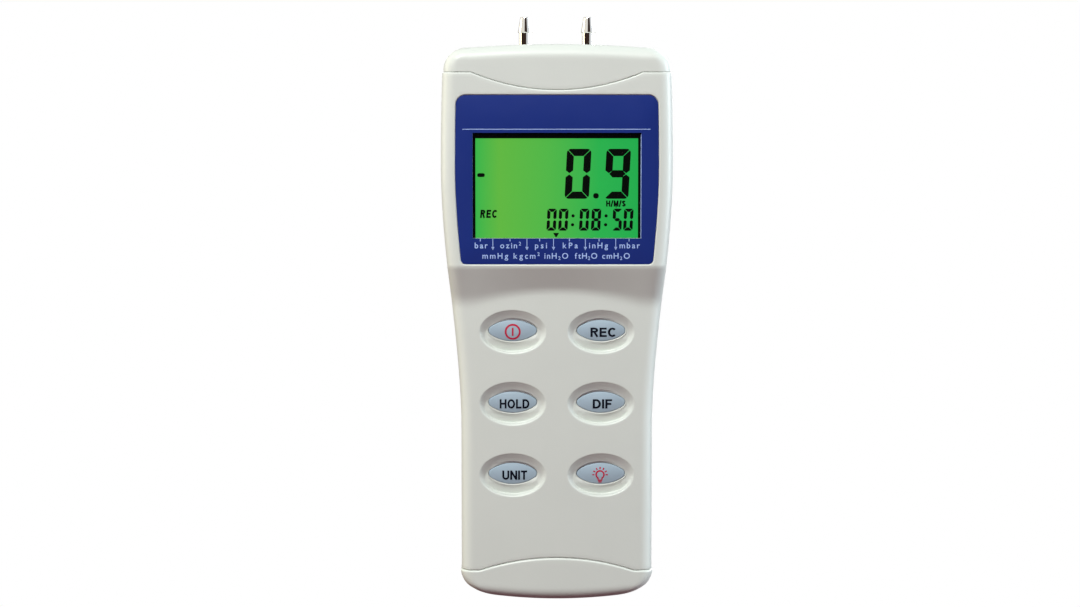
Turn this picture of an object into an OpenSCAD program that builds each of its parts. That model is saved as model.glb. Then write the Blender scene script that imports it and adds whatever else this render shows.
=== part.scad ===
// Hand-held digital manometer with two hose ports, six keys and a slide-off battery door.
// +Z runs along the housing to the ports, the face looks to -Y, and +X is the right of the face.
// Inside the modules z starts at the lower end of the housing; the finished part is set down so
// that the origin is the middle of the grip on the parting plane.

/* [Housing] */
// Length of the housing without the ports
body_l = 173.5; // [168:0.5:185]
// Width of the head at its widest
head_w = 72; // [70:0.5:76]
// Width of the grip
grip_w = 60; // [58:0.5:64]
// Depth of the head from face to back
body_d = 30; // [29:0.5:34]
// Height of the grip face in front of the parting plane
grip_front_d = 11.1; // [10.5:0.1:12]
// Wall thickness of the moulded shells
wall = 2.4; // [2:0.1:2.6]
// Wall thickness of the two ends, behind their linings
end_wall = 2.4; // [2:0.1:2.8]
// Radius along the front edges
front_edge_r = 4; // [3:0.25:4.5]
// Radius along the rear edges
rear_edge_r = 6; // [4:0.25:6.5]
// Radius of the upper corners seen from the front
top_corner_r = 7; // [5:0.5:9]
// Radius of the lower corners seen from the front
bottom_corner_r = 7; // [5:0.5:8]
// Radius of both ends seen from the side
end_r = 4; // [3:0.25:5]
// Height where the grip starts to widen into the head
flare_start = 54; // [48:1:58]
// Length over which the grip widens
flare_l = 82; // [76:1:86]
// How much the sides of the head draw in at its top
head_side_bow = 0.9; // [0.5:0.1:1.2]
// How far the middle of the top end stands above its corners
top_bow = 1; // [0.6:0.1:1.4]
// How far the middle of the lower end stands below its corners
bottom_bow = 2.1; // [1.2:0.1:2.4]

/* [Head step] */
// Length of the thick head
head_l = 68.1; // [67:0.1:72]
// Length of the slope below the head, on the centre line
slope_l = 8.6; // [7:0.1:10]
// How far the foot of the slope drops towards the sides
slope_bow = 4.1; // [3:0.1:5]
// Crown of the grip face
grip_crown = 0.8; // [0.4:0.1:1]

/* [End caps] */
// Length of the top cap at the sides
top_cap_l = 8.5; // [8:0.1:10]
// Dip of the top seam on the centre line
top_seam_dip = 5.4; // [4:0.1:6]
// Half width of the dip in the top seam
top_seam_half = 26.2; // [24:0.1:28]
// Length of the lower cap at the sides
bottom_cap_l = 10.3; // [9.5:0.1:12]
// Rise of the lower seam on the centre line
bottom_seam_rise = 4.1; // [3:0.1:5]
// Half width of the rise in the lower seam
bottom_seam_half = 24; // [22:0.1:25]
// Step between each cap and the shells
cap_step = 0.3; // [0.1:0.05:0.5]
// Open line at every seam
seam_gap = 0.25; // [0.15:0.05:0.35]

/* [Display] */
// Distance from the sides of the label to the window
window_side_gap = 5.2; // [4.8:0.1:6]
// Height of the display window
window_h = 32; // [30:0.1:33]
// Distance from the upper edge of the label to the window
window_top_gap = 11.8; // [11:0.1:13]
// Distance from the sides of the head to the label
label_margin = 4.9; // [4.5:0.1:5.5]
// Distance from the label to the top seam
label_top_gap = 1.6; // [1.2:0.1:2]
// Distance from the label to the head step
label_bottom_gap = 0.9; // [0.6:0.1:1.2]
// Corner radius at the top of the label
label_top_r = 3; // [2:0.25:4]
// Corner radius at the foot of the label
label_bottom_r = 1.5; // [1:0.25:2]
// Thickness of the label
label_t = 0.4; // [0.3:0.05:0.5]
// Thickness of the clear window
lens_t = 1; // [0.8:0.1:1.2]
// Thickness of the display glass
glass_t = 2.2; // [1.8:0.1:2.4]

/* [Keys] */
// Distance between the two key columns
key_pitch_x = 27.3; // [26.5:0.1:28]
// Distance between the key rows
key_pitch_z = 22.3; // [21:0.1:23]
// Distance from the foot of the head step to the top row of keys
key_top_gap = 11.9; // [11.5:0.1:13]
// Length of a key
key_l = 14.8; // [14:0.1:15.4]
// Height of a key
key_h = 6.4; // [6:0.1:7]
// Radius of a key's tips
key_tip_r = 1.4; // [1:0.1:1.8]
// Length of the dish round a key
dish_l = 20.5; // [20:0.1:21.5]
// Height of the dish round a key
dish_h = 13.3; // [12.6:0.1:14]
// Depth of the dish at its floor
dish_depth = 1.7; // [1.4:0.1:2]
// How far the key sits above the middle of its dish
key_rise = 0.4; // [0:0.1:0.6]
// Crown of a key top
key_crown = 0.5; // [0.3:0.1:0.7]
// How far a key travels when it is pressed
key_travel = 0.8; // [0.5:0.1:1]

/* [Ports] */
// Distance between the hose ports
port_pitch = 19.6; // [18:0.1:21]
// Distance of the ports behind the parting plane
port_y = 2.5; // [2:0.1:3]
// Length of a port outside the housing
port_l = 8.5; // [7.5:0.1:10]
// Radius of the port stem
stem_r = 1.95; // [1.8:0.05:2]
// Radius of the barb that grips the hose
barb_r = 2.25; // [2.2:0.05:2.5]
// Radius of the port at its tip
tip_r = 1.6; // [1.5:0.05:1.7]
// Radius of the air passage in the port
port_bore_r = 0.9; // [0.7:0.05:1]

/* [Battery] */
// Height of the battery body without its terminals
battery_l = 46.4; // [45:0.1:47]
// Wide side of the battery
battery_w = 26.5; // [25:0.1:27]
// Narrow side of the battery
battery_t = 17.5; // [16.5:0.1:17.8]
// Length of the battery door
door_l = 46; // [44:0.5:47]
// Height of the door seam behind the parting plane
door_seam_y = 7; // [6:0.1:7.5]

/* [Board] */
// Thickness of the circuit board
board_t = 1.6; // [1.2:0.1:1.8]
// Thickness of the keypad mat
mat_t = 0.8; // [0.6:0.1:1]

/* [Fasteners] */
// Radius of the case screw bosses
boss_r = 3; // [2.7:0.1:3.1]
// Radius of the case screw shank
case_screw_r = 1.25; // [1.1:0.05:1.3]
// Length of the case screw shank
case_screw_l = 12; // [11:0.5:12]
// Radius of the case screw head
case_head_r = 2.4; // [2:0.1:2.4]

/* [Hidden] */

// Smoothness of round parts
$fn = 48;
RIB_SIDES = 24;
// Overrun of every cut past the face that it opens
over = 1;
// Running clearance of pieces that slip together
fit = 0.15;
// Clearance of pieces that slide past each other
slide_gap = 0.3;

// Height of the origin above the lower end: the middle of the grip, just below the flare
grip_drop = 2;
grip_z = flare_start - grip_drop;

// Depths of the main planes
face_y = -body_d / 2;
back_y = body_d / 2;
grip_y = -grip_front_d;
back_inner_y = back_y - wall;
face_inner_y = face_y + wall;
// The grip face is thicker in the middle, where the dishes are sunk in it
grip_extra = 1.3;
grip_inner_y = grip_y + wall + grip_extra;

// Heights along the housing
head_z = body_l - head_l;
slope_z = head_z - slope_l;
flare_end = flare_start + flare_l;
top_seam_z = body_l - top_cap_l;
bottom_seam_z = bottom_cap_l;
cavity_z0 = end_wall + bottom_bow / 2;
cavity_z1 = body_l - end_wall;
label_z0 = head_z + label_bottom_gap;
label_z1 = top_seam_z - top_seam_dip - label_top_gap;
window_z1 = label_z1 - window_top_gap;
window_z = window_z1 - window_h / 2;
window_w = 2 * (side_x(window_z) - label_margin - window_side_gap);

// Half width over which the bows act
bow_half = grip_w / 2 - front_edge_r;
// The lower end's bow fades out over this length
bow_fade = 16;
// Share of the slope that eases out of the grip face
ease_share = 0.45;

// Columns across a face and steps round an edge of the lofted housing
COLUMNS = 10;
STEPS = 5;
END_STEPS = 6;
SEAM_SIDES = 180;

function clamp01(t) = min(1, max(0, t));
function smooth(t) = let (u = clamp01(t)) u * u * (3 - 2 * u);
function ease(t) = let (u = clamp01(t), k = ease_share)
    (u < k ? u * u / (2 * k) : u - k / 2) / (1 - k / 2);
function round_in(r, t) = t >= r ? 0 : r - sqrt(r * r - pow(r - max(0, t), 2));

// Half width of the housing at height z, before its corners
function side_x(z) = grip_w / 2
    + (head_w - grip_w) / 2 * smooth((z - flare_start) / flare_l)
    - head_side_bow * pow(max(0, z - flare_end) / (body_l - flare_end), 2);
// Drop of a ring at its sides
function bow(s) = lookup(s, [[0, -bottom_bow], [bow_fade, 0], [slope_z - bow_fade, 0],
    [slope_z, slope_bow], [head_z, 0], [body_l - bow_fade, 0], [body_l, top_bow]]);
function ring_z(s, x) = s - bow(s) * pow(min(abs(x), bow_half) / bow_half, 2);
function ring_half(s, o) = side_x(ring_z(s, bow_half)) + o
    - round_in(bottom_corner_r, s) - round_in(top_corner_r, body_l - s);
function end_in(s) = round_in(end_r, s) + round_in(end_r, body_l - s);
// Depth of the face in front of the parting plane
function grip_depth(x) = grip_front_d - grip_crown * pow(x / bow_half, 2);
function face_depth(s, x) = let (t = ease((s - slope_z) / slope_l))
    grip_depth(x) * (1 - t) - face_y * t;

function front_y(s, x, o) = -(face_depth(s, x) - end_in(s) + o);
function rear_y(s) = back_y - end_in(s);
function ring_point(s, x, y) = [x, y, ring_z(s, x)];

function front_row(s, o) = let (w = ring_half(s, o) - front_edge_r)
    [for (i = [0 : COLUMNS]) let (x = w * (2 * i / COLUMNS - 1)) ring_point(s, x, front_y(s, x, o))];
function front_arc(s, o, side, steps) = let (w = ring_half(s, o) - front_edge_r,
        y = front_y(s, w, o) + front_edge_r)
    [for (i = steps) let (a = 90 * i / STEPS)
        ring_point(s, side * (w + front_edge_r * sin(a)), y - front_edge_r * cos(a))];
function rear_row(s, o) = let (w = ring_half(s, o) - rear_edge_r)
    [for (i = [0 : COLUMNS]) ring_point(s, w * (1 - 2 * i / COLUMNS), rear_y(s))];
function rear_arc(s, o, side, steps) = let (w = ring_half(s, o) - rear_edge_r,
        y = rear_y(s) - rear_edge_r)
    [for (i = steps) let (a = 90 * i / STEPS)
        ring_point(s, side * (w + rear_edge_r * cos(a)), y + rear_edge_r * sin(a))];

function full_ring(s, o) = concat(front_row(s, o), front_arc(s, o, 1, [1 : STEPS]),
    rear_arc(s, o, 1, [0 : STEPS - 1]), rear_row(s, o), rear_arc(s, o, -1, [STEPS - 1 : -1 : 0]),
    front_arc(s, o, -1, [STEPS : -1 : 1]));
function front_ring(s, o) = concat(front_row(s, o), front_arc(s, o, 1, [1 : STEPS]),
    [for (k = [1, -1]) ring_point(s, k * ring_half(s, o), 0)],
    front_arc(s, o, -1, [STEPS : -1 : 1]));
function rear_ring(s, o) = concat([ring_point(s, ring_half(s, o), 0)],
    rear_arc(s, o, 1, [0 : STEPS - 1]), rear_row(s, o), rear_arc(s, o, -1, [STEPS - 1 : -1 : 0]),
    [ring_point(s, -ring_half(s, o), 0)]);

// Number of points in half a ring and in a full one
HALF_RING = COLUMNS + 1 + 2 * STEPS + 2;
FULL_RING = 2 * (COLUMNS + 1) + 4 * STEPS;
function fan(n) = [for (i = [1 : n - 2]) [0, i, i + 1]];
// Ends of a full ring: strips between the two rows and a fan at each side
function strips(n) = let (last = COLUMNS, r0 = COLUMNS + 1 + 2 * STEPS)
    concat([for (i = [0 : last - 1]) each [[i, i + 1, r0 + last - i - 1],
            [i, r0 + last - i - 1, r0 + last - i]]],
        [for (i = [last + 1 : r0 - 1]) [last, i, i + 1]],
        [for (i = [r0 + last : n - 2]) [0, i, i + 1]]);
module loft(rings, ends) {
    n = len(rings[0]);
    m = len(rings);
    sides = [for (k = [0 : m - 2]) for (i = [0 : n - 1]) let (j = (i + 1) % n, a = k * n, b = a + n)
        each [[a + i, b + i, b + j], [a + i, b + j, a + j]]];
    top = [for (f = ends) [for (i = [2 : -1 : 0]) f[i] + (m - 1) * n]];
    polyhedron([for (r = rings) each r], concat(sides, ends, top));
}

// Ring heights, close together where the form turns
function end_stations(r) = [for (i = [0 : END_STEPS]) r * (1 - cos(90 * i / END_STEPS))];
function even(a, b, n) = [for (i = [1 : n]) a + (b - a) * i / n];
function stations() = concat(end_stations(bottom_corner_r), even(bottom_corner_r, bow_fade, 2),
    even(bow_fade, flare_start, 2), even(flare_start, slope_z - bow_fade, 3),
    even(slope_z - bow_fade, slope_z, 3), even(slope_z, head_z, 5),
    even(head_z, body_l - bow_fade, 6), [body_l - (bow_fade + top_corner_r) / 2],
    [for (i = [END_STEPS : -1 : 0]) body_l - end_stations(top_corner_r)[i]]);
function between(a, b) = [for (s = stations()) if (s >= a && s <= b) s];

// Regions beyond the two seams, drawn in XZ
module top_region(gap) {
    r = (pow(top_seam_half, 2) + pow(top_seam_dip, 2)) / (2 * top_seam_dip);
    translate([-head_w, top_seam_z - gap]) square([2 * head_w, body_l]);
    intersection() {
        translate([0, top_seam_z - top_seam_dip + r]) circle(r + gap, $fn = SEAM_SIDES);
        translate([-top_seam_half, top_seam_z - 2 * top_seam_dip])
            square([2 * top_seam_half, 3 * top_seam_dip]);
    }
}
module bottom_region(gap) {
    r = (pow(bottom_seam_half, 2) + pow(bottom_seam_rise, 2)) / (2 * bottom_seam_rise);
    translate([-head_w, bottom_seam_z + gap - body_l]) square([2 * head_w, body_l]);
    intersection() {
        translate([0, bottom_seam_z + bottom_seam_rise - r]) circle(r + gap, $fn = SEAM_SIDES);
        translate([-bottom_seam_half, bottom_seam_z - 2 * bottom_seam_rise])
            square([2 * bottom_seam_half, 4 * bottom_seam_rise]);
    }
}
// Stands an XZ drawing up, from y0 to y1
module stand(y0, y1) {
    translate([0, y1, 0]) rotate([90, 0, 0]) linear_extrude(y1 - y0) children();
}
module between_seams() {
    stand(face_y - over, back_y + over) difference() {
        translate([-head_w, 0]) square([2 * head_w, body_l]);
        top_region(seam_gap);
        bottom_region(seam_gap);
    }
}
// Everything from y0 backwards or forwards
module slab(x_half, y0, y1, z0, z1) {
    translate([-x_half, y0, z0]) cube([2 * x_half, y1 - y0, z1 - z0]);
}

// Inside of the housing, drawn in by d all round
function cavity_half(z, d) = side_x(z) - wall - d
    - round_in(bottom_corner_r - end_wall / 2, z - cavity_z0)
    - round_in(top_corner_r - wall, cavity_z1 - z);
CAVITY_STEPS = 30;
module cavity(d) {
    z0 = cavity_z0 + d;
    z1 = cavity_z1 - d;
    heights = [for (i = [0 : CAVITY_STEPS]) z0 + (z1 - z0) * (1 - cos(180 * i / CAVITY_STEPS)) / 2];
    outline = concat([for (z = heights) [cavity_half(z, d), z]],
        [for (i = [CAVITY_STEPS : -1 : 0]) [-cavity_half(heights[i], d), heights[i]]]);
    side = [[back_inner_y - d, z0], [back_inner_y - d, z1], [face_inner_y + d, z1],
        [face_inner_y + d, head_z + wall], [grip_inner_y + d, slope_z - slope_bow],
        [grip_inner_y + d, z0]];
    intersection() {
        stand(face_y, back_y) polygon(outline);
        rotate([90, 0, 90]) translate([0, 0, -head_w / 2]) linear_extrude(head_w) polygon(side);
    }
}
// Wall that lines the cavity with a slip fit, t thick
lining_t = 1.2;
// How far the cap linings reach past the seams
lining_l = 1.5;
lining_d = fit + lining_t;
top_lining_z = top_seam_z - top_seam_dip - lining_l;
bottom_lining_z = bottom_seam_z + bottom_seam_rise + lining_l;

// Case screws: two in the head, two in the grip
screw_seat_y = 6;
case_head_t = 1.8;
screw_hole_r = case_screw_r + fit;
counterbore_r = case_head_r + fit;
rear_boss_r = counterbore_r + lining_t;
boss_head_x = side_x(label_z1) - rear_edge_r - counterbore_r;
boss_head_z = top_lining_z - slide_gap - rear_boss_r;
boss_grip_x = grip_w / 2 - rear_edge_r - counterbore_r;
row_z = [for (i = [0 : 2]) slope_z - key_top_gap - i * key_pitch_z];
boss_grip_z = (row_z[1] + row_z[2]) / 2;
BOSSES = [[-boss_head_x, boss_head_z], [boss_head_x, boss_head_z], [-boss_grip_x, boss_grip_z],
    [boss_grip_x, boss_grip_z]];

// A round post along Y from y0 to y1
module post(x, z, r, y0, y1) {
    translate([x, y1, z]) rotate([90, 0, 0]) cylinder(r = r, h = y1 - y0);
}

// Key stack, from the shell back to the board
dish_floor_y = grip_y + grip_crown * pow(key_pitch_x / 2 / bow_half, 2) + dish_depth;
key_proud = 0.1;
flange_t = 0.8;
flange_rim = 0.9;
plunger_r = 2.4;
plunger_l = 0.5;
dome_h = 1;
dome_r = 4;
flange_y = grip_inner_y + slide_gap;
plunger_y = flange_y + flange_t + plunger_l;
mat_y = plunger_y + key_travel + fit + dome_h;
board_y = mat_y + mat_t;
board_back_y = board_y + board_t;

// Outline of a key, a pointed oval with rounded tips, grown by d
OVAL_SIDES = 96;
CROWN_SIDES = 240;
module key_outline(d) {
    tip_x = key_l / 2 - key_tip_r;
    arc_r = (key_h * key_h / 4 + tip_x * tip_x - key_tip_r * key_tip_r) / (key_h - 2 * key_tip_r);
    join_x = tip_x * (arc_r + d) / (arc_r - key_tip_r);
    intersection() {
        translate([0, key_h / 2 - arc_r]) circle(arc_r + d, $fn = OVAL_SIDES);
        translate([0, arc_r - key_h / 2]) circle(arc_r + d, $fn = OVAL_SIDES);
        square([2 * join_x, key_h + 2 * over], center = true);
    }
    for (k = [-1, 1]) translate([k * tip_x, 0]) circle(key_tip_r + d);
}
// The dish is a loft of ellipses: floor, fillet, wall and rounded lip
dish_radial_shares = [-0.5, 0, 0.55, 1, 1.25, 1.7];
dish_depth_shares = [1, 0.94, 0.5, 0.12, 0, -0.12];
dish_wall_w = 1.5;
DISH_SIDES = 40;
module dish() {
    lip_y = dish_floor_y - dish_depth;
    n = len(dish_radial_shares);
    rings = [for (k = [n : -1 : 0]) let (j = min(k, n - 1),
            w = dish_wall_w * (dish_radial_shares[j] - 1),
            y = k < n ? lip_y + dish_depth * dish_depth_shares[j] : lip_y - over)
        [for (i = [0 : DISH_SIDES - 1]) let (a = -360 * i / DISH_SIDES)
            [(dish_l / 2 + w) * cos(a), y, (dish_h / 2 + w) * sin(a)]]];
    loft(rings, fan(DISH_SIDES));
}
module at_key(column, row) {
    translate([column * key_pitch_x / 2, 0, row_z[row]]) children();
}

// Label outline grown by d, its sides parallel to the sides of the head
LABEL_STEPS = 8;
CORNER_STEPS = 5;
label_fit = 0.1;
function label_half(z) = side_x(z) - label_margin;
function corner_points(x, z, r, a0) = [for (i = [0 : CORNER_STEPS])
    let (a = a0 + 90 * i / CORNER_STEPS) [x + r * cos(a), z + r * sin(a)]];
function label_right(d) = let (z0 = label_z0 - d, z1 = label_z1 + d,
        r0 = label_bottom_r, r1 = label_top_r)
    concat(corner_points(label_half(z0 + r0) + d - r0, z0 + r0, r0, -90),
        [for (i = [1 : LABEL_STEPS - 1]) let (z = z0 + r0 + (z1 - r1 - z0 - r0) * i / LABEL_STEPS)
            [label_half(z) + d, z]],
        corner_points(label_half(z1 - r1) + d - r1, z1 - r1, r1, 0));
module label_shape(d) {
    right = label_right(d);
    polygon(concat(right, [for (i = [len(right) - 1 : -1 : 0]) [-right[i][0], right[i][1]]]));
}
module window_shape(d) {
    translate([0, window_z]) square([window_w + 2 * d, window_h + 2 * d], center = true);
}

// Display stack, from the face back to the board
label_back_y = face_y + label_t + label_fit;
lens_back_y = label_back_y + lens_t;
lens_rim = 2;
glass_rim_x = 3;
glass_rim_z = 2.75;
glass_y = face_inner_y + slide_gap;
glass_back_y = glass_y + glass_t;
frame_t = 1.4;
strip_t = 2;
backlight_t = 3;
backlight_rim = 0.4;
backlight_back_y = glass_back_y + fit + backlight_t;

// Battery bay
foam_t = 1.8;
bay_floor_gap = 1.2;
bay_wall_t = 1.5;
battery_z0 = bottom_corner_r + bay_floor_gap;
battery_z1 = battery_z0 + battery_w;
battery_y0 = grip_inner_y + foam_t + fit;
battery_y = battery_y0 + battery_t / 2;
battery_z = (battery_z0 + battery_z1) / 2;
bay_z1 = battery_z1 + slide_gap;
terminal_l = 2.1;
terminal_r = 3;
terminal_pitch = 12.7;
snap_t = 4;
// The battery and its snap share the width between the rails
bay_half = (battery_l + snap_t + fit) / 2;
battery_x0 = -bay_half;
battery_x1 = battery_x0 + battery_l;

// Battery leads: a pair that climbs from the snap to the back of the board
lead_r = 0.7;
lead_pitch = 2;
lead_x = battery_x1 + fit + snap_t / 2;
lead_y = battery_y;
snap_rim = 1.6;
lead_reach = 4;
lead_notch_w = lead_pitch + 2 * lead_r + 4 * fit;
LEAD_STEPS = 6;
LEAD_SIDES = 8;

// Door rails: a lip on each side of the bay runs in a groove of the door, which slides off downwards
rail_t = 1;
rail_lip = 1;
rail_rise = 2.5;
rail_x = grip_w / 2 - wall - slide_gap;
rail_y1 = door_seam_y + rail_rise;
rail_z0 = bottom_lining_z + 2 * slide_gap;
rail_z1 = door_l - 4 * rail_t;
ledge_t = 1.6;
ledge_l = 2.5;
ledge_half = grip_w / 2 - rear_edge_r - rail_lip;

// Board outline and the screws that hold it
board_margin = 1.8;
board_z0 = bay_z1 + bay_wall_t + slide_gap;
board_z1 = top_lining_z - slide_gap;
BOARD_STEPS = 20;
board_screw_r = 1;
board_screw_l = 4;
board_head_r = 1.9;
board_head_t = 1.3;
pillar_r = 2.2;
pillar_head_x = side_x(head_z) - wall - board_margin - board_head_r - lining_t;
pillar_head_z = head_z - pillar_r;
PILLARS = [[0, (row_z[0] + row_z[1]) / 2], [0, (row_z[1] + row_z[2]) / 2],
    [-pillar_head_x, pillar_head_z], [pillar_head_x, pillar_head_z]];
module board_shape(margin) {
    heights = [for (i = [0 : BOARD_STEPS]) board_z0 + (board_z1 - board_z0) * i / BOARD_STEPS];
    notch_r = boss_r + slide_gap;
    difference() {
        polygon(concat([for (z = heights) [side_x(z) - wall - margin, z]],
            [for (i = [BOARD_STEPS : -1 : 0]) [margin + wall - side_x(heights[i]), heights[i]]]));
        for (b = BOSSES) translate(b) circle(notch_r);
        for (k = [-1, 1]) {
            translate([k * (boss_head_x + head_w / 4 - notch_r), boss_head_z + head_w / 4 - notch_r])
                square(head_w / 2, center = true);
            translate([k * (boss_grip_x + notch_r), boss_grip_z]) square(2 * notch_r, center = true);
        }
    }
}

// Ports: each barb has a flange under the top cap, held up by a clamp plate
nipple_r = 1.45;
port_flange_r = 4;
port_flange_t = 2;
seal_t = 0.5;
clamp_t = 1.5;
clamp_w = 10;
clamp_screw_l = 4;
clamp_post_r = 2.4;
// Gap between a port flange and the post beside it
clamp_post_gap = 0.8;
clamp_screw_x = port_pitch / 2 + port_flange_r + clamp_post_gap + clamp_post_r;
cap_inner_z = cavity_z1 - lining_d;
port_flange_z1 = cap_inner_z - seal_t;
port_flange_z0 = port_flange_z1 - port_flange_t;
clamp_z0 = port_flange_z0 - clamp_t;
nipple_l = 8;
nipple_z0 = clamp_z0 - nipple_l;
// Heights of the barb above the housing, as shares of its length
barb_foot_share = 0.33;
barb_crest_share = 0.42;
barb_land_l = 0.8;
tip_edge = 0.3;
port_base_z = body_l - top_bow * pow(port_pitch / 2 / bow_half, 2);
port_tip_z = body_l + port_l;
crest_z = port_base_z + port_l * barb_crest_share;

// Pressure sensor on the back of the board, its two nipples pointing at the ports
sensor_w = 16;
sensor_t = 7;
sensor_h = 14;
sensor_pitch = 9;
sensor_nipple_l = 7;
// Free length of a sensor tube between the two nipples it joins
tube_free_l = 9;
sensor_z1 = nipple_z0 - sensor_nipple_l - tube_free_l;
tube_r = 2.4;
tube_bore_r = 1.6;
tube_grip_l = 6;
tube_z0 = sensor_z1 + fit;
tube_z1 = nipple_z0 + tube_grip_l;
TUBE_SIDES = 12;
TUBE_STEPS = 12;

// Sweeps a ring of n points along a path that lies in the plane square to b
function path_ring(path, i, r, b, n) = let (t = path[min(i + 1, len(path) - 1)] - path[max(i - 1, 0)],
        u = cross(t / norm(t), b))
    [for (k = [0 : n - 1]) let (a = 360 * k / n) path[i] + r * (cos(a) * b + sin(a) * u)];
module sweep(path, r, b, n) {
    loft([for (i = [0 : len(path) - 1]) path_ring(path, i, r, b, n)], fan(n));
}

shell_colour = [0.80, 0.81, 0.77];

module front_shell() color(shell_colour) {
    difference() {
        intersection() {
            loft([for (s = between(bottom_corner_r, body_l - top_corner_r)) front_ring(s, 0)],
                fan(HALF_RING));
            between_seams();
        }
        cavity(0);
        stand(face_y - over, label_back_y) label_shape(label_fit);
        stand(label_back_y - over, lens_back_y) window_shape(lens_rim + fit);
        stand(lens_back_y - over, face_inner_y + over) window_shape(0);
        for (c = [-1, 1], r = [0 : 2]) at_key(c, r) {
            dish();
            translate([0, 0, key_rise]) stand(dish_floor_y - over, grip_inner_y + over)
                key_outline(fit);
        }
    }
    for (b = BOSSES) difference() {
        post(b[0], b[1], boss_r, (b[1] > head_z ? face_inner_y : grip_inner_y) - fit, -fit);
        post(b[0], b[1], case_screw_r + fit / 3, screw_seat_y - case_screw_l - slide_gap, over);
    }
    for (p = PILLARS) difference() {
        post(p[0], p[1], pillar_r, p[0] == 0 ? grip_inner_y - fit : face_inner_y + wall / 2, board_y);
        post(p[0], p[1], board_screw_r + fit / 3, board_back_y - board_screw_l - slide_gap, board_y + over);
    }
}

module rear_shell() color(shell_colour) {
    lip_l = 1.2;
    difference() {
        union() {
            difference() {
                intersection() {
                    loft([for (s = between(bottom_corner_r, body_l - top_corner_r)) rear_ring(s, 0)],
                        fan(HALF_RING));
                    between_seams();
                }
                cavity(0);
                slab(head_w, door_seam_y, back_y + over, -over, door_l + seam_gap);
            }
            for (b = BOSSES) post(b[0], b[1], rear_boss_r, 0, back_inner_y + fit);
            intersection() {
                difference() {
                    cavity(-fit);
                    cavity(lining_d);
                }
                slab(head_w, 0, lip_l, bottom_lining_z + slide_gap, top_lining_z - slide_gap);
            }
            intersection() {
                difference() {
                    cavity(fit);
                    cavity(lining_d);
                }
                slab(head_w, -lip_l, lip_l, bottom_lining_z + slide_gap, top_lining_z - slide_gap);
            }
        }
        for (b = BOSSES) {
            post(b[0], b[1], screw_hole_r, -over, back_y);
            post(b[0], b[1], counterbore_r, screw_seat_y, back_y + over);
        }
    }
    bay_wall_half = cavity_half(bay_z1, 0);
    bay_wall_z1 = bay_z1 + bay_wall_t;
    difference() {
        union() {
            slab(bay_wall_half - slide_gap, battery_y0, back_inner_y - slide_gap, bay_z1, bay_wall_z1);
            slab(bay_wall_half + fit, 0, door_seam_y - slide_gap, bay_z1, bay_wall_z1);
        }
        translate([lead_x - lead_notch_w / 2, battery_y0 - over, bay_z1 - over])
            cube([lead_notch_w, lead_y + lead_r + fit - battery_y0 + over, bay_wall_t + 2 * over]);
    }
    for (k = [0, 1]) mirror([k, 0, 0]) translate([rail_x - rail_t, 0, rail_z0]) {
        rail_l = rail_z1 - rail_z0;
        cube([rail_t, rail_y1, rail_l]);
        translate([0, rail_y1 - rail_lip, 0]) cube([rail_t + rail_lip, rail_lip, rail_l]);
        cube([rail_t + slide_gap + fit, door_seam_y - slide_gap, rail_l]);
    }
    ledge_z1 = door_l + ledge_l;
    slab(ledge_half, back_inner_y - fit - ledge_t, back_inner_y - fit, door_l - ledge_l, ledge_z1);
    slab(ledge_half, back_inner_y - ledge_t, back_inner_y + fit, door_l + seam_gap, ledge_z1);
}

module top_end_cap() color(shell_colour) {
    difference() {
        union() {
            intersection() {
                loft([for (s = between(head_z, body_l)) full_ring(s, -cap_step)], strips(FULL_RING));
                stand(face_y - over, back_y + over) top_region(0);
            }
            intersection() {
                cavity(fit);
                slab(head_w, face_y, back_y, top_lining_z, body_l);
            }
        }
        cavity(lining_d);
        for (k = [-1, 1]) translate([k * port_pitch / 2, port_y, cap_inner_z - over])
            cylinder(r = stem_r + fit, h = body_l);
    }
    for (k = [-1, 1]) translate([k * clamp_screw_x, port_y, port_flange_z0]) difference() {
        cylinder(r = clamp_post_r, h = cap_inner_z - port_flange_z0 + fit);
        translate([0, 0, -over])
            cylinder(r = board_screw_r + fit / 3, h = clamp_screw_l - clamp_t + over + slide_gap);
    }
}

module bottom_end_cap() color(shell_colour) {
    intersection() {
        difference() {
            union() {
                intersection() {
                    loft([for (s = between(0, flare_start)) full_ring(s, cap_step)], strips(FULL_RING));
                    stand(face_y - over, back_y + over) bottom_region(0);
                }
                intersection() {
                    cavity(fit);
                    slab(head_w, face_y, back_y, 0, bottom_lining_z);
                }
            }
            cavity(lining_d);
        }
        slab(head_w, face_y - over, door_seam_y - seam_gap / 2, -body_l, body_l);
    }
}

module battery_door() color(shell_colour) {
    rib_n = 5;
    rib_pitch = 2.6;
    rib_r = 0.6;
    rib_half = 9;
    rib_z1 = door_l - ledge_l * 2;
    groove_w = rail_lip + 2 * slide_gap;
    groove_z0 = rail_z0 - slide_gap;
    difference() {
        intersection() {
            loft([for (s = between(0, flare_start)) rear_ring(s, 0)], fan(HALF_RING));
            slab(head_w, door_seam_y + seam_gap / 2, back_y + over, -over, door_l);
        }
        cavity(0);
        for (k = [0, 1]) mirror([k, 0, 0])
            translate([rail_x - slide_gap, rail_y1 - rail_lip - slide_gap, groove_z0])
                cube([groove_w, groove_w, door_l - groove_z0 + over]);
        for (i = [0 : rib_n - 1]) translate([-rib_half, back_y, rib_z1 - i * rib_pitch])
            rotate([0, 90, 0]) cylinder(r = rib_r, h = 2 * rib_half, $fn = RIB_SIDES);
    }
}

module display_overlay() color([0.16, 0.22, 0.5]) stand(face_y + label_fit, label_back_y) difference() {
    label_shape(0);
    window_shape(0);
}

module display_lens() color([0.9, 0.95, 0.95, 0.35])
    stand(label_back_y, lens_back_y) window_shape(lens_rim);

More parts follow.
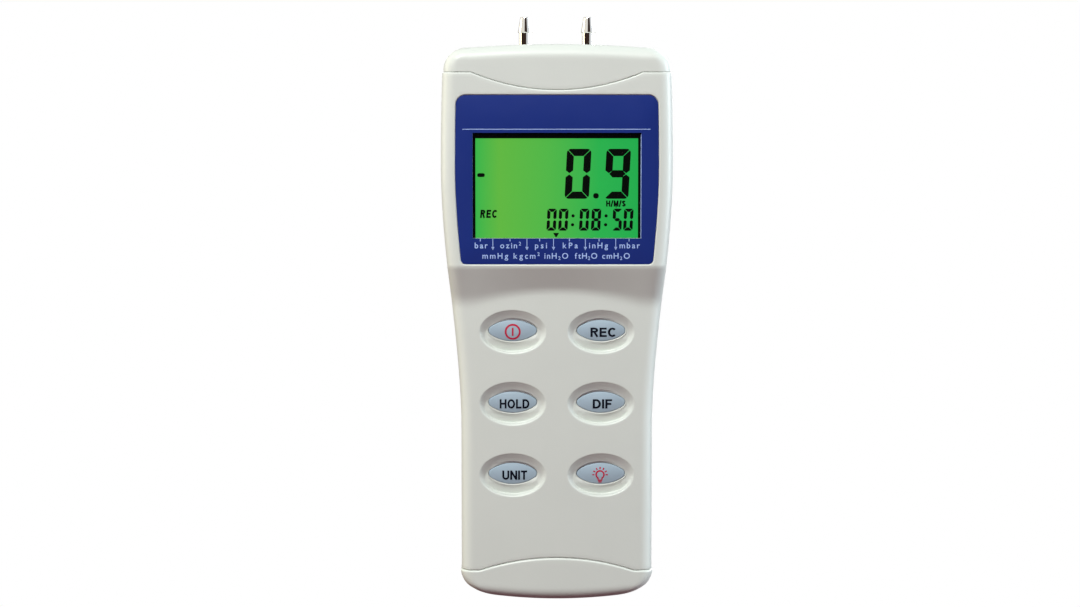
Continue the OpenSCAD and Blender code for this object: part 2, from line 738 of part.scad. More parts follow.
module glass_shape(d) {
    translate([0, window_z])
        square([window_w + 2 * (glass_rim_x + d), window_h + 2 * (glass_rim_z + d)], center = true);
}
module lcd_frame() color([0.15, 0.15, 0.16]) {
    stand(glass_y, board_y) difference() {
        glass_shape(fit + frame_t);
        glass_shape(fit);
    }
    stand(backlight_back_y, board_y) intersection() {
        difference() {
            glass_shape(fit + frame_t / 2);
            translate([-window_w / 2, 0]) square([window_w, body_l]);
        }
        window_shape(glass_rim_x + frame_t);
    }
}
module lcd_glass() color([0.3, 0.72, 0.3]) stand(glass_y, glass_back_y) glass_shape(0);
module backlight_panel() color([0.6, 0.85, 0.5]) stand(backlight_back_y - backlight_t, backlight_back_y)
    translate([0, window_z])
        square([window_w + 2 * (glass_rim_x - backlight_rim),
            window_h + 2 * (glass_rim_z - strip_t - backlight_rim)], center = true);
module elastomer_strips() color([0.85, 0.6, 0.65]) for (k = [-1, 1])
    translate([0, 0, window_z + k * (window_h / 2 + glass_rim_z - strip_t / 2)])
        slab(window_w / 2, glass_back_y, board_y, -strip_t / 2, strip_t / 2);

module key(column, row) color([0.64, 0.69, 0.72]) at_key(column, row) translate([0, 0, key_rise]) {
    crown_r = (key_l * key_l / 4 + key_crown * key_crown) / (2 * key_crown);
    top_y = dish_floor_y - key_proud - key_crown;
    intersection() {
        stand(top_y, flange_y) key_outline(0);
        translate([0, top_y + crown_r, 0]) sphere(crown_r, $fn = CROWN_SIDES);
    }
    stand(flange_y, flange_y + flange_t) key_outline(flange_rim);
    post(0, 0, plunger_r, flange_y, plunger_y);
}

module keypad_mat() color([0.55, 0.57, 0.58]) {
    mat_rim = 8;
    stand(mat_y, board_y) difference() {
        intersection() {
            board_shape(board_margin + fit);
            translate([-head_w / 2, row_z[2] - mat_rim])
                square([head_w, row_z[0] - row_z[2] + 2 * mat_rim]);
        }
        for (p = PILLARS) translate(p) circle(pillar_r + fit);
    }
    for (c = [-1, 1], r = [0 : 2]) at_key(c, r) translate([0, mat_y, key_rise])
        rotate([90, 0, 0]) cylinder(r1 = dome_r, r2 = plunger_r, h = dome_h);
}

module main_board() color([0.1, 0.4, 0.2]) stand(board_y, board_back_y) difference() {
    board_shape(board_margin);
    for (p = PILLARS) translate(p) circle(board_screw_r + fit);
}

// A chip on the back of the board with pins along two or four sides
module chip(w, h, t, pins, sides) {
    pin_w = 0.5;
    pin_l = 1;
    translate([-w / 2, board_back_y, -h / 2]) cube([w, t, h]);
    for (a = [0 : 360 / sides : 359], i = [0 : pins - 1]) rotate([0, a, 0])
        translate([(i - (pins - 1) / 2) * w / (pins + 1) - pin_w / 2, board_back_y, h / 2 - fit])
            cube([pin_w, t / 2, pin_l + fit]);
}
chip_t = 1.6;
chip_z = (row_z[0] + head_z) / 2;
module controller_chip() color([0.1, 0.1, 0.1]) {
    controller_w = 14;
    controller_pins = 10;
    translate([0, 0, chip_z]) chip(controller_w, controller_w, chip_t, controller_pins, 4);
}
module amplifier_chip() color([0.1, 0.1, 0.1]) {
    amplifier_w = 5;
    amplifier_h = 4;
    amplifier_pins = 4;
    translate([-sensor_w, 0, sensor_z1 - sensor_h / 2])
        chip(amplifier_w, amplifier_h, chip_t, amplifier_pins, 2);
}
module crystal_can() color([0.75, 0.75, 0.76]) {
    crystal_l = 6;
    crystal_w = 4.5;
    crystal_h = 3.5;
    translate([sensor_w, board_back_y, chip_z]) rotate([-90, 0, 0]) linear_extrude(crystal_h) {
        square([crystal_l, crystal_w], center = true);
        for (k = [-1, 1]) translate([k * crystal_l / 2, 0]) circle(d = crystal_w);
    }
}
module capacitors() color([0.2, 0.25, 0.45]) {
    can_r = 3.1;
    can_l = 7;
    foot_r = 3.3;
    foot_t = 1;
    can_pitch = 12;
    for (i = [0, 1]) translate([-sensor_w, board_back_y, row_z[1] + i * can_pitch])
        rotate([-90, 0, 0]) {
            cylinder(r = can_r, h = can_l);
            cylinder(r = foot_r, h = foot_t);
        }
}

module pressure_sensor() color([0.88, 0.88, 0.86]) {
    lid_t = 1.5;
    pin_w = 0.6;
    pin_l = 1.2;
    translate([-sensor_w / 2, board_back_y, sensor_z1 - sensor_h])
        cube([sensor_w, sensor_t - lid_t, sensor_h]);
    translate([-sensor_w / 2 + pin_w, board_back_y, sensor_z1 - sensor_h + pin_w])
        cube([sensor_w - 2 * pin_w, sensor_t, sensor_h - 2 * pin_w]);
    for (k = [-1, 1]) translate([k * sensor_pitch / 2, port_y, sensor_z1 - pin_w]) difference() {
        cylinder(r = nipple_r, h = sensor_nipple_l + pin_w);
        translate([0, 0, lid_t]) cylinder(r = port_bore_r, h = sensor_nipple_l + over);
    }
    pin_x = sensor_w / 2 + pin_l / 2 - fit;
    for (k = [-1, 1], i = [-1 : 1])
        translate([k * pin_x, board_back_y + pin_w / 2, sensor_z1 - sensor_h / 2 + i * pin_l * 3])
            cube([pin_l, pin_w, pin_w], center = true);
}

module hose_barb(side) color([0.78, 0.78, 0.8]) translate([side * port_pitch / 2, port_y, 0])
    rotate_extrude() polygon([[port_bore_r, nipple_z0], [nipple_r - tip_edge, nipple_z0],
        [nipple_r, nipple_z0 + tip_edge], [nipple_r, port_flange_z0],
        [port_flange_r, port_flange_z0], [port_flange_r, port_flange_z1],
        [stem_r, port_flange_z1], [stem_r, port_base_z + port_l * barb_foot_share], [barb_r, crest_z],
        [barb_r, crest_z + barb_land_l], [tip_r, port_tip_z - tip_edge], [tip_r - tip_edge, port_tip_z],
        [port_bore_r, port_tip_z]]);

module port_seals() color([0.12, 0.12, 0.12]) for (k = [-1, 1])
    translate([k * port_pitch / 2, port_y, port_flange_z1]) difference() {
        cylinder(r = port_flange_r, h = seal_t);
        translate([0, 0, -over]) cylinder(r = stem_r + fit, h = seal_t + 2 * over);
    }

module port_clamp() color([0.7, 0.7, 0.72]) translate([0, port_y, clamp_z0])
    linear_extrude(clamp_t) difference() {
        union() {
            square([2 * clamp_screw_x, clamp_w], center = true);
            for (k = [-1, 1]) translate([k * clamp_screw_x, 0]) circle(d = clamp_w);
        }
        for (k = [-1, 1]) {
            translate([k * port_pitch / 2, 0]) circle(nipple_r + fit);
            translate([k * clamp_screw_x, 0]) circle(board_screw_r + fit);
        }
    }

// A pan-head screw along +Z with its head below z = 0 and a slot in the head
module screw(shank_r, shank_l, head_r, head_t) {
    slot_w = head_r / 3;
    difference() {
        union() {
            translate([0, 0, -head_t]) cylinder(r = head_r, h = head_t);
            cylinder(r = shank_r, h = shank_l);
        }
        for (a = [0, 90]) rotate(a) translate([-head_r * 2 / 3, -slot_w / 2, -head_t - over])
            cube([head_r * 4 / 3, slot_w, head_t / 2 + over]);
    }
}
module clamp_screws() color([0.7, 0.7, 0.72]) for (k = [-1, 1])
    translate([k * clamp_screw_x, port_y, clamp_z0])
        screw(board_screw_r, clamp_screw_l, board_head_r, board_head_t);
module case_screws() color([0.7, 0.7, 0.72]) for (b = BOSSES)
    translate([b[0], screw_seat_y, b[1]]) rotate([90, 0, 0])
        screw(case_screw_r, case_screw_l, case_head_r, case_head_t);
module board_screws() color([0.7, 0.7, 0.72]) for (p = PILLARS)
    translate([p[0], board_back_y, p[1]]) rotate([90, 0, 0])
        screw(board_screw_r, board_screw_l, board_head_r, board_head_t);

module sensor_tube(side) color([0.85, 0.85, 0.82]) {
    x0 = side * sensor_pitch / 2;
    x1 = side * port_pitch / 2;
    bend_z0 = sensor_z1 + sensor_nipple_l;
    path = [for (i = [0 : TUBE_STEPS]) let (z = tube_z0 + (tube_z1 - tube_z0) * i / TUBE_STEPS)
        [x0 + (x1 - x0) * smooth((z - bend_z0) / (nipple_z0 - bend_z0)), port_y, z]];
    end = [0, 0, over];
    difference() {
        sweep(path, tube_r, [0, 1, 0], TUBE_SIDES);
        sweep(concat([path[0] - end], path, [path[TUBE_STEPS] + end]), tube_bore_r, [0, 1, 0], TUBE_SIDES);
    }
}

// Block of the battery lying across the bay, drawn in YZ and run along X
battery_edge_r = 2;
module battery() {
    hy = battery_t / 2 - battery_edge_r;
    hz = battery_w / 2 - battery_edge_r;
    color([0.2, 0.2, 0.22]) translate([battery_x0, battery_y, battery_z]) {
        rotate([90, 0, 90]) linear_extrude(battery_l) {
            square([2 * hy, battery_w], center = true);
            square([battery_t, 2 * hz], center = true);
            for (j = [-1, 1], k = [-1, 1]) translate([j * hy, k * hz]) circle(battery_edge_r);
        }
        for (k = [-1, 1]) translate([battery_l - fit, 0, k * terminal_pitch / 2]) rotate([0, 90, 0])
            cylinder(r = terminal_r, h = terminal_l + fit);
    }
}
module battery_snap() color([0.1, 0.1, 0.1]) {
    translate([battery_x1 + fit, battery_y, battery_z]) difference() {
        translate([0, -battery_t / 2 + snap_rim, -battery_w / 2 + snap_rim])
            cube([snap_t, battery_t - 2 * snap_rim, battery_w - 2 * snap_rim]);
        for (k = [-1, 1]) translate([-over, 0, k * terminal_pitch / 2]) rotate([0, 90, 0])
            cylinder(r = terminal_r + fit, h = terminal_l + over);
    }
}

// Battery leads from the snap up the bay to the back of the board
module lead(side, colour) color(colour) {
    x = lead_x + side * lead_pitch / 2;
    foot_y = board_back_y + lead_r;
    run = lead_y - foot_y;
    z0 = battery_z1 - snap_rim;
    z1 = board_z0 + lead_reach;
    path = concat([[x, lead_y, z0], [x, lead_y, (z0 + z1) / 2]],
        [for (i = [0 : LEAD_STEPS]) let (a = 90 * i / LEAD_STEPS)
            [x, foot_y + run * cos(a), z1 + run * sin(a)]],
        [[x, board_back_y, z1 + run]]);
    sweep(path, lead_r, [1, 0, 0], LEAD_SIDES);
}
module battery_foam() color([0.25, 0.25, 0.26])
    slab(bay_half - snap_t, grip_inner_y, grip_inner_y + foam_t, rail_z0, battery_z1 - battery_edge_r);

// Every piece, set down with the origin in the middle of the grip
module placed() {
    translate([0, 0, -grip_z]) children();
}
placed() front_shell();
placed() rear_shell();
placed() top_end_cap();
placed() bottom_end_cap();
placed() battery_door();
placed() display_overlay();
placed() display_lens();
placed() lcd_frame();
placed() lcd_glass();
placed() backlight_panel();
placed() elastomer_strips();
placed() key(-1, 0);  // key_power
placed() key(1, 0);  // key_record
placed() key(-1, 1);  // key_hold
placed() key(1, 1);  // key_difference
placed() key(-1, 2);  // key_unit
placed() key(1, 2);  // key_backlight
placed() keypad_mat();
placed() main_board();
placed() controller_chip();
placed() amplifier_chip();
placed() crystal_can();
placed() capacitors();
placed() pressure_sensor();
placed() hose_barb(-1);  // hose_barb_left
placed() hose_barb(1);  // hose_barb_right
placed() port_seals();
placed() port_clamp();
placed() clamp_screws();
placed() sensor_tube(-1);  // sensor_tube_left
placed() sensor_tube(1);  // sensor_tube_right
placed() battery();
placed() battery_snap();
placed() lead(-1, [0.8, 0.1, 0.1]);  // lead_red
placed() lead(1, [0.05, 0.05, 0.05]);  // lead_black
placed() battery_foam();
placed() case_screws();
placed() board_screws();
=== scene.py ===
"""Looks of a hand-held digital manometer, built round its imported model.

Sizes are in millimetres and z starts at the lower end of the housing, as in the part's own source.
The face looks to -Y and +X is its right. to_frame() turns a place into metres in the shared frame,
whose origin is the middle of the grip on the parting plane.
"""

import math

import bmesh
import bpy
import numpy as np
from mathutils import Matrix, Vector
from mathutils.geometry import delaunay_2d_cdt


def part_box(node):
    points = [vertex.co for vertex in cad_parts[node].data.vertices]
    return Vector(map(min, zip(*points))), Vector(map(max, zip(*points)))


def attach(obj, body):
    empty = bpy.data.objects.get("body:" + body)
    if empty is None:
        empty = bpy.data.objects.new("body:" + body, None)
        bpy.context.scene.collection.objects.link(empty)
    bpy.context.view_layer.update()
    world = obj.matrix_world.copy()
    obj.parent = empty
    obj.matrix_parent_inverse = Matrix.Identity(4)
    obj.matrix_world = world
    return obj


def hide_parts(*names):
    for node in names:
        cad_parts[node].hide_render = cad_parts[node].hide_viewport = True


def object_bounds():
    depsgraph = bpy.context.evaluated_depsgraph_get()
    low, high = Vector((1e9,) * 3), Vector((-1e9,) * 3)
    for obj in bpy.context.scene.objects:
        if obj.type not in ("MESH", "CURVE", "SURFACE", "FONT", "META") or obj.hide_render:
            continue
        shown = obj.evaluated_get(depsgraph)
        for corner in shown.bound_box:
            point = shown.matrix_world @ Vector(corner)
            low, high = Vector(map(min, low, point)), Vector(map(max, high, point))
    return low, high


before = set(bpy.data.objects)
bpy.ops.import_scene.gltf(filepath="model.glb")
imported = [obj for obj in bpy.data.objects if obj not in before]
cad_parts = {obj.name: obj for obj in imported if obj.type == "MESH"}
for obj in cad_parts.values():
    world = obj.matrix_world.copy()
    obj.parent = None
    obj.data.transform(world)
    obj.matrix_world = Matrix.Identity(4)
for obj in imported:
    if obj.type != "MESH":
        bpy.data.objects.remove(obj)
CAD_BOX = [list(corner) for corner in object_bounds()]
MM = 0.001

# Housing
BODY_L = 173.5
HEAD_W = (CAD_BOX[1][0] - CAD_BOX[0][0]) / MM
GRIP_W = 60.0
BODY_D = 30.0
GRIP_FRONT_D = 11.1
WALL = 2.4
FRONT_EDGE_R = 4.0
REAR_EDGE_R = 6.0
CORNER_R = 7.0
END_R = 4.0
SIDE_TRIM = 0.35
LOW_END = 1.1
LOW_CORNER_R = 8.4
LOW_END_R = 3.5
FLARE_START = 54.0
FLARE_L = 82.0
HEAD_SIDE_BOW = 0.9
TOP_BOW = 1.0
BOTTOM_BOW = 2.1
GRIP_Z = FLARE_START - 2.0
FACE_Y = -BODY_D / 2
BACK_Y = BODY_D / 2

# Head step
HEAD_L = 68.1
SLOPE_L = 9.1
SLOPE_BOW = 4.1
GRIP_CROWN = 0.8
EASE_SHARE = 0.32
STEP_SOFT = 0.35
HEAD_Z = BODY_L - HEAD_L
SLOPE_Z = HEAD_Z - SLOPE_L

# Seams and caps
TOP_SEAM = dict(level=BODY_L - 8.5, rise=5.4, half=26.2, up=-1)
BOTTOM_SEAM = dict(level=10.3, rise=4.1, half=24.0, up=1)
CAP_STEP = 0.3
SEAM_GAP = 0.25
FACE_GAP = 0.08
SHELL_LIP_R = 0.45
TOP_LIP_R = 0.35
LOW_LIP_R = 0.65
LOW_REACH = 7.2
FIT = 0.15
SLIDE_GAP = 0.3
LINING_T = 1.2
LINING_L = 1.5
DOOR_L = 46.0
DOOR_SEAM_Y = 7.0
GRIP_INNER_D = 7.4
HEAD_INNER_D = BODY_D / 2 - WALL

# How the bows fade in and out along the housing
BOW_HALF = GRIP_W / 2 - FRONT_EDGE_R
BOW_FADE = 16.0
BOW_S = [0, BOW_FADE, SLOPE_Z - BOW_FADE, SLOPE_Z, HEAD_Z, BODY_L - BOW_FADE, BODY_L]
BOW_DROP = [-BOTTOM_BOW, 0, 0, SLOPE_BOW, 0, 0, TOP_BOW]
LEAST_R = 0.2


# Form of the housing

def smooth(t):
    u = np.clip(t, 0, 1)
    return u * u * (3 - 2 * u)


def ramp(t):
    """Eases out of zero over EASE_SHARE, then climbs straight through 1."""
    u = np.maximum(t, 0)
    k = EASE_SHARE
    return np.where(u < k, u * u / (2 * k), u - k / 2) / (1 - k / 2)


def soft_min(a, b, r):
    return np.minimum(a, b) - np.maximum(r - np.abs(a - b), 0) ** 2 / (4 * r)


def soft_max(a, b, r):
    return -soft_min(-a, -b, r)


def round_in(r, t):
    """How far an edge of radius r is drawn in at distance t from its end."""
    r = max(r, LEAST_R)
    t = np.clip(t, 0, r)
    return r - np.sqrt(np.maximum(r * r - (r - t) ** 2, 0))


def side_x(z):
    flare = smooth((z - FLARE_START) / FLARE_L)
    end = FLARE_START + FLARE_L
    draw = HEAD_SIDE_BOW * (np.maximum(0, z - end) / (BODY_L - end)) ** 2
    return GRIP_W / 2 + (HEAD_W - GRIP_W) / 2 * flare - draw - SIDE_TRIM


def bow(s):
    return np.interp(s, BOW_S, BOW_DROP)


def bow_share(x):
    return (np.minimum(np.abs(x), BOW_HALF) / BOW_HALF) ** 2


def ring_z(s, x):
    return s - bow(s) * bow_share(x)


def ring_s(x, z):
    """The ring height that passes through a place in XZ."""
    s = z
    for _ in range(20):
        s = z + bow(s) * bow_share(x)
    return s


def half_width(s, o):
    return (side_x(ring_z(s, BOW_HALF)) - o - round_in(LOW_CORNER_R - o, s - LOW_END - o)
            - round_in(CORNER_R - o, BODY_L - s - o))


def end_in(s, o):
    return round_in(LOW_END_R - o, s - LOW_END - o) + round_in(END_R - o, BODY_L - s - o)


def grip_depth(x):
    return GRIP_FRONT_D - GRIP_CROWN * (x / BOW_HALF) ** 2


def face_depth(s, x):
    t = ramp((s - SLOPE_Z) / SLOPE_L)
    return soft_min(grip_depth(x) * (1 - t) + BODY_D / 2 * t, BODY_D / 2, STEP_SOFT)


def inner_depth(s):
    return np.interp(s, [SLOPE_Z - SLOPE_BOW, HEAD_Z + WALL], [GRIP_INNER_D, HEAD_INNER_D])


def seam_z(x, gap, level, rise, half, up):
    """Height of a seam at x: straight at the sides and an arc in the middle."""
    r = (half ** 2 + rise ** 2) / (2 * rise)
    arc = rise - r + np.sqrt(np.maximum((r + gap) ** 2 - x * x, 0))
    return level + up * np.maximum(gap, arc)


FACE, FRONT_ARC, SIDE, REAR_ARC, BACK = range(5)
NATURAL = math.nan


class Columns:
    """Places across the housing, in runs of (kind, side, values from 0 to 1 or -1 to 1, low, high).

    low and high limit a run along a side in depth; without them it goes from one rounded edge to
    the other."""

    def __init__(self, *runs):
        rows = []
        for kind, side, values, *limits in runs:
            rows += [(kind, side, v, *(limits or (NATURAL, NATURAL))) for v in values]
        self.kind, self.side, self.t, self.low, self.high = (
            np.array(list(column), float) for column in zip(*rows))
        self.count = len(rows)
        self.face = np.flatnonzero(self.kind == FACE)
        self.back = np.flatnonzero(self.kind == BACK)


def skin(cols, s, o=0.0, step=0.0, depth=None):
    """Points of the housing o inside its surface; step moves the face and sides out."""
    s = np.broadcast_to(s, (cols.count,)).astype(float)
    half = half_width(s, o) + step
    rf, rr = max(FRONT_EDGE_R - o, LEAST_R), max(REAR_EDGE_R - o, LEAST_R)
    inset = end_in(s, o)
    rear = BACK_Y - o - inset

    def front(x):
        d = face_depth(s, x) - o + step if depth is None else depth
        return inset - d

    wf, wr = half - rf, half - rr
    y_front, y_rear = front(wf) + rf, rear - rr
    low = np.where(np.isnan(cols.low), y_front, cols.low)
    high = np.where(np.isnan(cols.high), np.maximum(y_rear, low), cols.high)
    turn = np.radians(90 * cols.t)
    first = np.arcsin(np.clip((np.nan_to_num(cols.low, nan=-BODY_D) - y_rear) / rr, 0, 1))
    rear_turn = first + (np.pi / 2 - first) * cols.t
    side_y = low + (high - low) * cols.t
    kinds = [cols.kind == k for k in range(5)]
    x = np.select(kinds, [
        cols.t * wf, cols.side * (wf + rf * np.sin(turn)),
        cols.side * (half - round_in(rr, rear - side_y)),
        cols.side * (wr + rr * np.cos(rear_turn)), cols.t * wr])
    y = np.select(kinds, [
        front(x), front(wf) + rf * (1 - np.cos(turn)), side_y,
        y_rear + rr * np.sin(rear_turn), rear])
    return np.stack([x, y, ring_z(s, x)], axis=-1)


def at_seam(cols, seam, gap, **where):
    """The ring height s at which each column meets a seam."""
    s = np.full(cols.count, seam["level"])
    for _ in range(30):
        x = skin(cols, s, **where)[:, 0]
        s = seam_z(x, gap, **seam) + bow(s) * bow_share(x)
    return s


def between(a, b, n):
    """n steps from a up to b, without a."""
    return [a + (b - a) * i / n for i in range(1, n + 1)]


def lip(edge, r, inward, n=4):
    """Rows (s, o) round an edge of radius r, from the surface in to the edge."""
    turns = [math.radians(90 * i / n) for i in range(n + 1)]
    return [(edge + inward * r * (1 - math.sin(a)), r * (1 - math.cos(a))) for a in turns]


# Meshes

def to_frame(points):
    p = np.array(points, float).reshape(-1, 3)
    p[:, 2] -= GRIP_Z
    return p * MM


def densify(loop, step):
    """A closed 2D outline with no edge longer than step."""
    out = []
    for a, b in zip(loop, np.roll(loop, -1, axis=0)):
        n = max(1, math.ceil(np.linalg.norm(b - a) / step))
        out += [a + (b - a) * i / n for i in range(n)]
    return np.array(out)


def within(points, loop):
    """Which 2D points lie inside a closed outline."""
    x, y = points[:, 0, None], points[:, 1, None]
    x0, y0 = loop[:, 0], loop[:, 1]
    x1, y1 = np.roll(x0, -1), np.roll(y0, -1)
    rise = np.where(y1 == y0, 1e-12, y1 - y0)
    hits = ((y0 > y) != (y1 > y)) & (x < x0 + (y - y0) * (x1 - x0) / rise)
    return hits.sum(axis=1) % 2 == 1


# Edges sharper than this angle are drawn sharp, and points closer than this are one
CREASE, WELD = 32, 0.001


class Shape:
    """Points and faces that are welded into one mesh at the end."""

    def __init__(self):
        self.points, self.faces, self.count = [], [], 0

    def add(self, points):
        start = self.count
        points = np.asarray(points, float).reshape(-1, 3)
        self.points.append(points)
        self.count += len(points)
        return start

    def grid(self, rows, ring=False, loop=False, skip=()):
        """Quads between rows of points; ring joins the columns' ends and loop the rows' ends."""
        rows = np.asarray(rows, float)
        m, n = rows.shape[:2]
        start = self.add(rows)
        for i in range(m if loop else m - 1):
            for j in range(n if ring else n - 1):
                if any(i in r and j in c for r, c in skip):
                    continue
                a, b = start + i * n, start + (i + 1) % m * n
                k = (j + 1) % n
                self.faces.append((a + j, a + k, b + k, b + j))

    def fill(self, loops, place, inner=None, margin=0.3):
        """Triangles inside loops[0] and outside the other 2D outlines; place() puts them in 3D."""
        points, edges = [], []
        for loop in loops:
            base, n = len(points), len(loop)
            points += list(loop)
            edges += [(base + i, base + (i + 1) % n) for i in range(n)]

        def inside(spots):
            keep = within(spots, loops[0])
            for hole in loops[1:]:
                keep &= ~within(spots, hole)
            return keep

        if inner is not None:
            inner = inner[inside(inner)]
            rim = np.array(points)
            near = np.array([((rim - p) ** 2).sum(axis=1).min() for p in inner]) if len(inner) else []
            points += [p for p, d in zip(inner, near) if d > margin ** 2]
        flat, _, tris, *_ = delaunay_2d_cdt([Vector(p) for p in points], edges, [], 0, 1e-7)
        flat = np.array([tuple(v) for v in flat])
        tris = np.array([t for t in tris])
        keep = inside(flat[tris].mean(axis=1))
        start = self.add(place(flat[:, 0], flat[:, 1]))
        self.faces += [tuple(start + int(i) for i in t) for t in tris[keep]]

    def tube(self, rows):
        """A ring of quads through rows of points, with a face at each end."""
        first = self.count
        self.grid(rows, ring=True)
        n = (self.count - first) // len(rows)
        self.faces += [tuple(range(start, start + n)) for start in (first, self.count - n)]

    def sweep(self, loop, low, high, axis=1):
        """A closed shape with a flat outline that goes from low to high along an axis."""
        loop = np.array(loop, float)
        self.tube([np.insert(loop, axis, end, axis=1) for end in (low, high)])
        return self

    def mesh(self, name, crease=CREASE):
        data = bpy.data.meshes.new(name)
        data.from_pydata(to_frame(np.concatenate(self.points)).tolist(), [], self.faces)
        work = bmesh.new()
        work.from_mesh(data)
        bmesh.ops.remove_doubles(work, verts=work.verts, dist=WELD * MM)
        bmesh.ops.dissolve_degenerate(work, edges=work.edges, dist=WELD * MM / 4)
        bmesh.ops.recalc_face_normals(work, faces=work.faces)
        work.to_mesh(data)
        work.free()
        data.shade_smooth()
        data.set_sharp_from_angle(angle=math.radians(crease))
        return data


def flat_at(y):
    """Places a drawing in XZ on the plane y."""
    return lambda x, z: np.stack([x, np.full(len(x), float(y)), z], axis=-1)


def loop_at(loop, y):
    return flat_at(y)(loop[:, 0], loop[:, 1])


def put(name, data):
    """A new object in the scene."""
    thing = bpy.data.objects.new(name, data)
    bpy.context.scene.collection.objects.link(thing)
    return thing


def final_mesh(thing):
    """The mesh of an object with its modifiers."""
    graph = bpy.context.evaluated_depsgraph_get()
    return bpy.data.meshes.new_from_object(thing.evaluated_get(graph))


def show(name, shape, body, material, replaces=(), crease=CREASE):
    """A finished piece: it rides on its body, has its material and stands for its nodes."""
    thing = put(name, shape.mesh(name, crease))
    thing.data.materials.append(material)
    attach(thing, body)
    if replaces:
        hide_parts(*replaces)
    return thing


def cut(thing, *tools, operation="DIFFERENCE"):
    """Cuts closed shapes out of a piece, or joins them to it."""
    for tool in tools:
        other = put("tool", tool.mesh("tool"))
        change = thing.modifiers.new("cut", "BOOLEAN")
        change.operation, change.solver, change.object = operation, "EXACT", other
        data = final_mesh(thing)
        thing.modifiers.clear()
        thing.data = data
        bpy.data.objects.remove(other)
    thing.data.shade_smooth()
    thing.data.set_sharp_from_angle(angle=math.radians(CREASE))


def turned(profile, x, y, n=96):
    """A closed shape turned about an upright axis at x, y from (radius, z) points."""
    shape = Shape()
    shape.grid([np.insert(circle(x, y, r, n), 2, z, axis=1) for r, z in profile], ring=True, loop=True)
    return shape


def circle(x, z, r, n=48):
    turns = 2 * np.pi * np.arange(n) / n
    return np.stack([x + r * np.cos(turns), z + r * np.sin(turns)], axis=-1)


def box_outline(x0, x1, z0, z1):
    return [(x0, z0), (x1, z0), (x1, z1), (x0, z1)]


# Materials

def rgb(r, g, b):
    """A colour from its sRGB values, 0 to 255."""
    def linear(v):
        v = v / 255
        return v / 12.92 if v <= 0.04045 else ((v + 0.055) / 1.055) ** 2.4
    return (linear(r), linear(g), linear(b), 1.0)


class Tree:
    """A node tree, with short calls to add to it."""

    def __init__(self, owner):
        owner.use_nodes = True
        self.tree = owner.node_tree

    def add(self, kind, inputs=(), **values):
        """A new node; its inputs are numbers, colours or outputs of other nodes."""
        node = self.tree.nodes.new("ShaderNode" + kind)
        for key, value in values.items():
            setattr(node, key, value)
        for key, value in dict(inputs).items():
            if isinstance(value, bpy.types.NodeSocket):
                self.tree.links.new(value, node.inputs[key])
            else:
                node.inputs[key].default_value = value
        return node

    def ramp(self, source, *stops):
        """A colour ramp with stops (place, colour)."""
        node = self.add("ValToRGB", dict(Fac=source))
        ends = node.color_ramp.elements
        while len(ends) < len(stops):
            ends.new(0.5)
        for end, (place, colour) in zip(ends, stops):
            end.position, end.color = place, colour
        return node.outputs["Color"]

    def spread(self, source, low=0.0, high=1.0, start=0.0, end=1.0, kind="LINEAR"):
        """A value between low and high, spread from start to end."""
        limits = {"From Min": low, "From Max": high, "To Min": start, "To Max": end}
        node = self.add("MapRange", {"Value": source, **limits}, interpolation_type=kind)
        return node.outputs["Result"]

    def combine(self, operation, one, two):
        return self.add("Math", {0: one, 1: two}, operation=operation).outputs[0]

    def mix(self, share, one, two):
        return self.add("MixShader", {0: share, 1: one, 2: two}).outputs[0]

    def seen_directly(self):
        """1 for rays from the camera and those that go on through clear parts."""
        path = self.add("LightPath").outputs
        return self.combine("MAXIMUM", path["Is Camera Ray"], path["Is Transmission Ray"])


class Finish(Tree):
    """A material, with the shader's constant values."""

    def __init__(self, name, **values):
        self.material = bpy.data.materials.new(name)
        super().__init__(self.material)
        self.shader = self.tree.nodes["Principled BSDF"]
        self.where = self.add("TexCoord").outputs["Object"]
        for key, value in values.items():
            self.shader.inputs[key.replace("_", " ")].default_value = value

    def link(self, source, name):
        self.tree.links.new(source, self.shader.inputs[name])

    def noise(self, scale, detail=2.0):
        values = dict(Scale=scale, Detail=detail, Roughness=0.5, Vector=self.where)
        return self.add("TexNoise", values).outputs["Fac"]

    def tint(self, source, low, high):
        """A colour between two, where the noise is low and where it is high."""
        self.link(self.ramp(source, (0.3, low), (0.7, high)), "Base Color")

    def gloss(self, source, low, high):
        self.link(self.spread(source, start=low, end=high), "Roughness")

    def bump(self, source, height):
        node = self.add("Bump", dict(Distance=height * MM, Strength=1.0, Height=source))
        self.link(node.outputs["Normal"], "Normal")


def shade(colour, factor):
    return (colour[0] * factor, colour[1] * factor, colour[2] * factor, 1.0)


def moulded(name, colour, rough=0.45, grain=900, height=0.02, vary=0.03, **values):
    """Moulded plastic or rubber: a fine grain, and a colour and gloss that vary a little."""
    finish = Finish(name, **values)
    finish.tint(finish.noise(60, detail=3), shade(colour, 1 - vary), shade(colour, 1 + vary))
    finish.gloss(finish.noise(220), rough - 0.05, rough + 0.05)
    finish.bump(finish.noise(grain, detail=1), height)
    return finish.material


def plated(name, colour, rough, scale=400):
    """Plated or bare metal with faint turning marks."""
    finish = Finish(name, Metallic=1.0)
    finish.where = finish.add("Mapping", dict(Scale=(1, 1, 14), Vector=finish.where)).outputs["Vector"]
    finish.tint(finish.noise(scale), shade(colour, 0.94), colour)
    finish.gloss(finish.noise(scale * 2), rough * 0.7, rough * 1.4)
    finish.bump(finish.noise(scale * 3), 0.0004)
    return finish.material


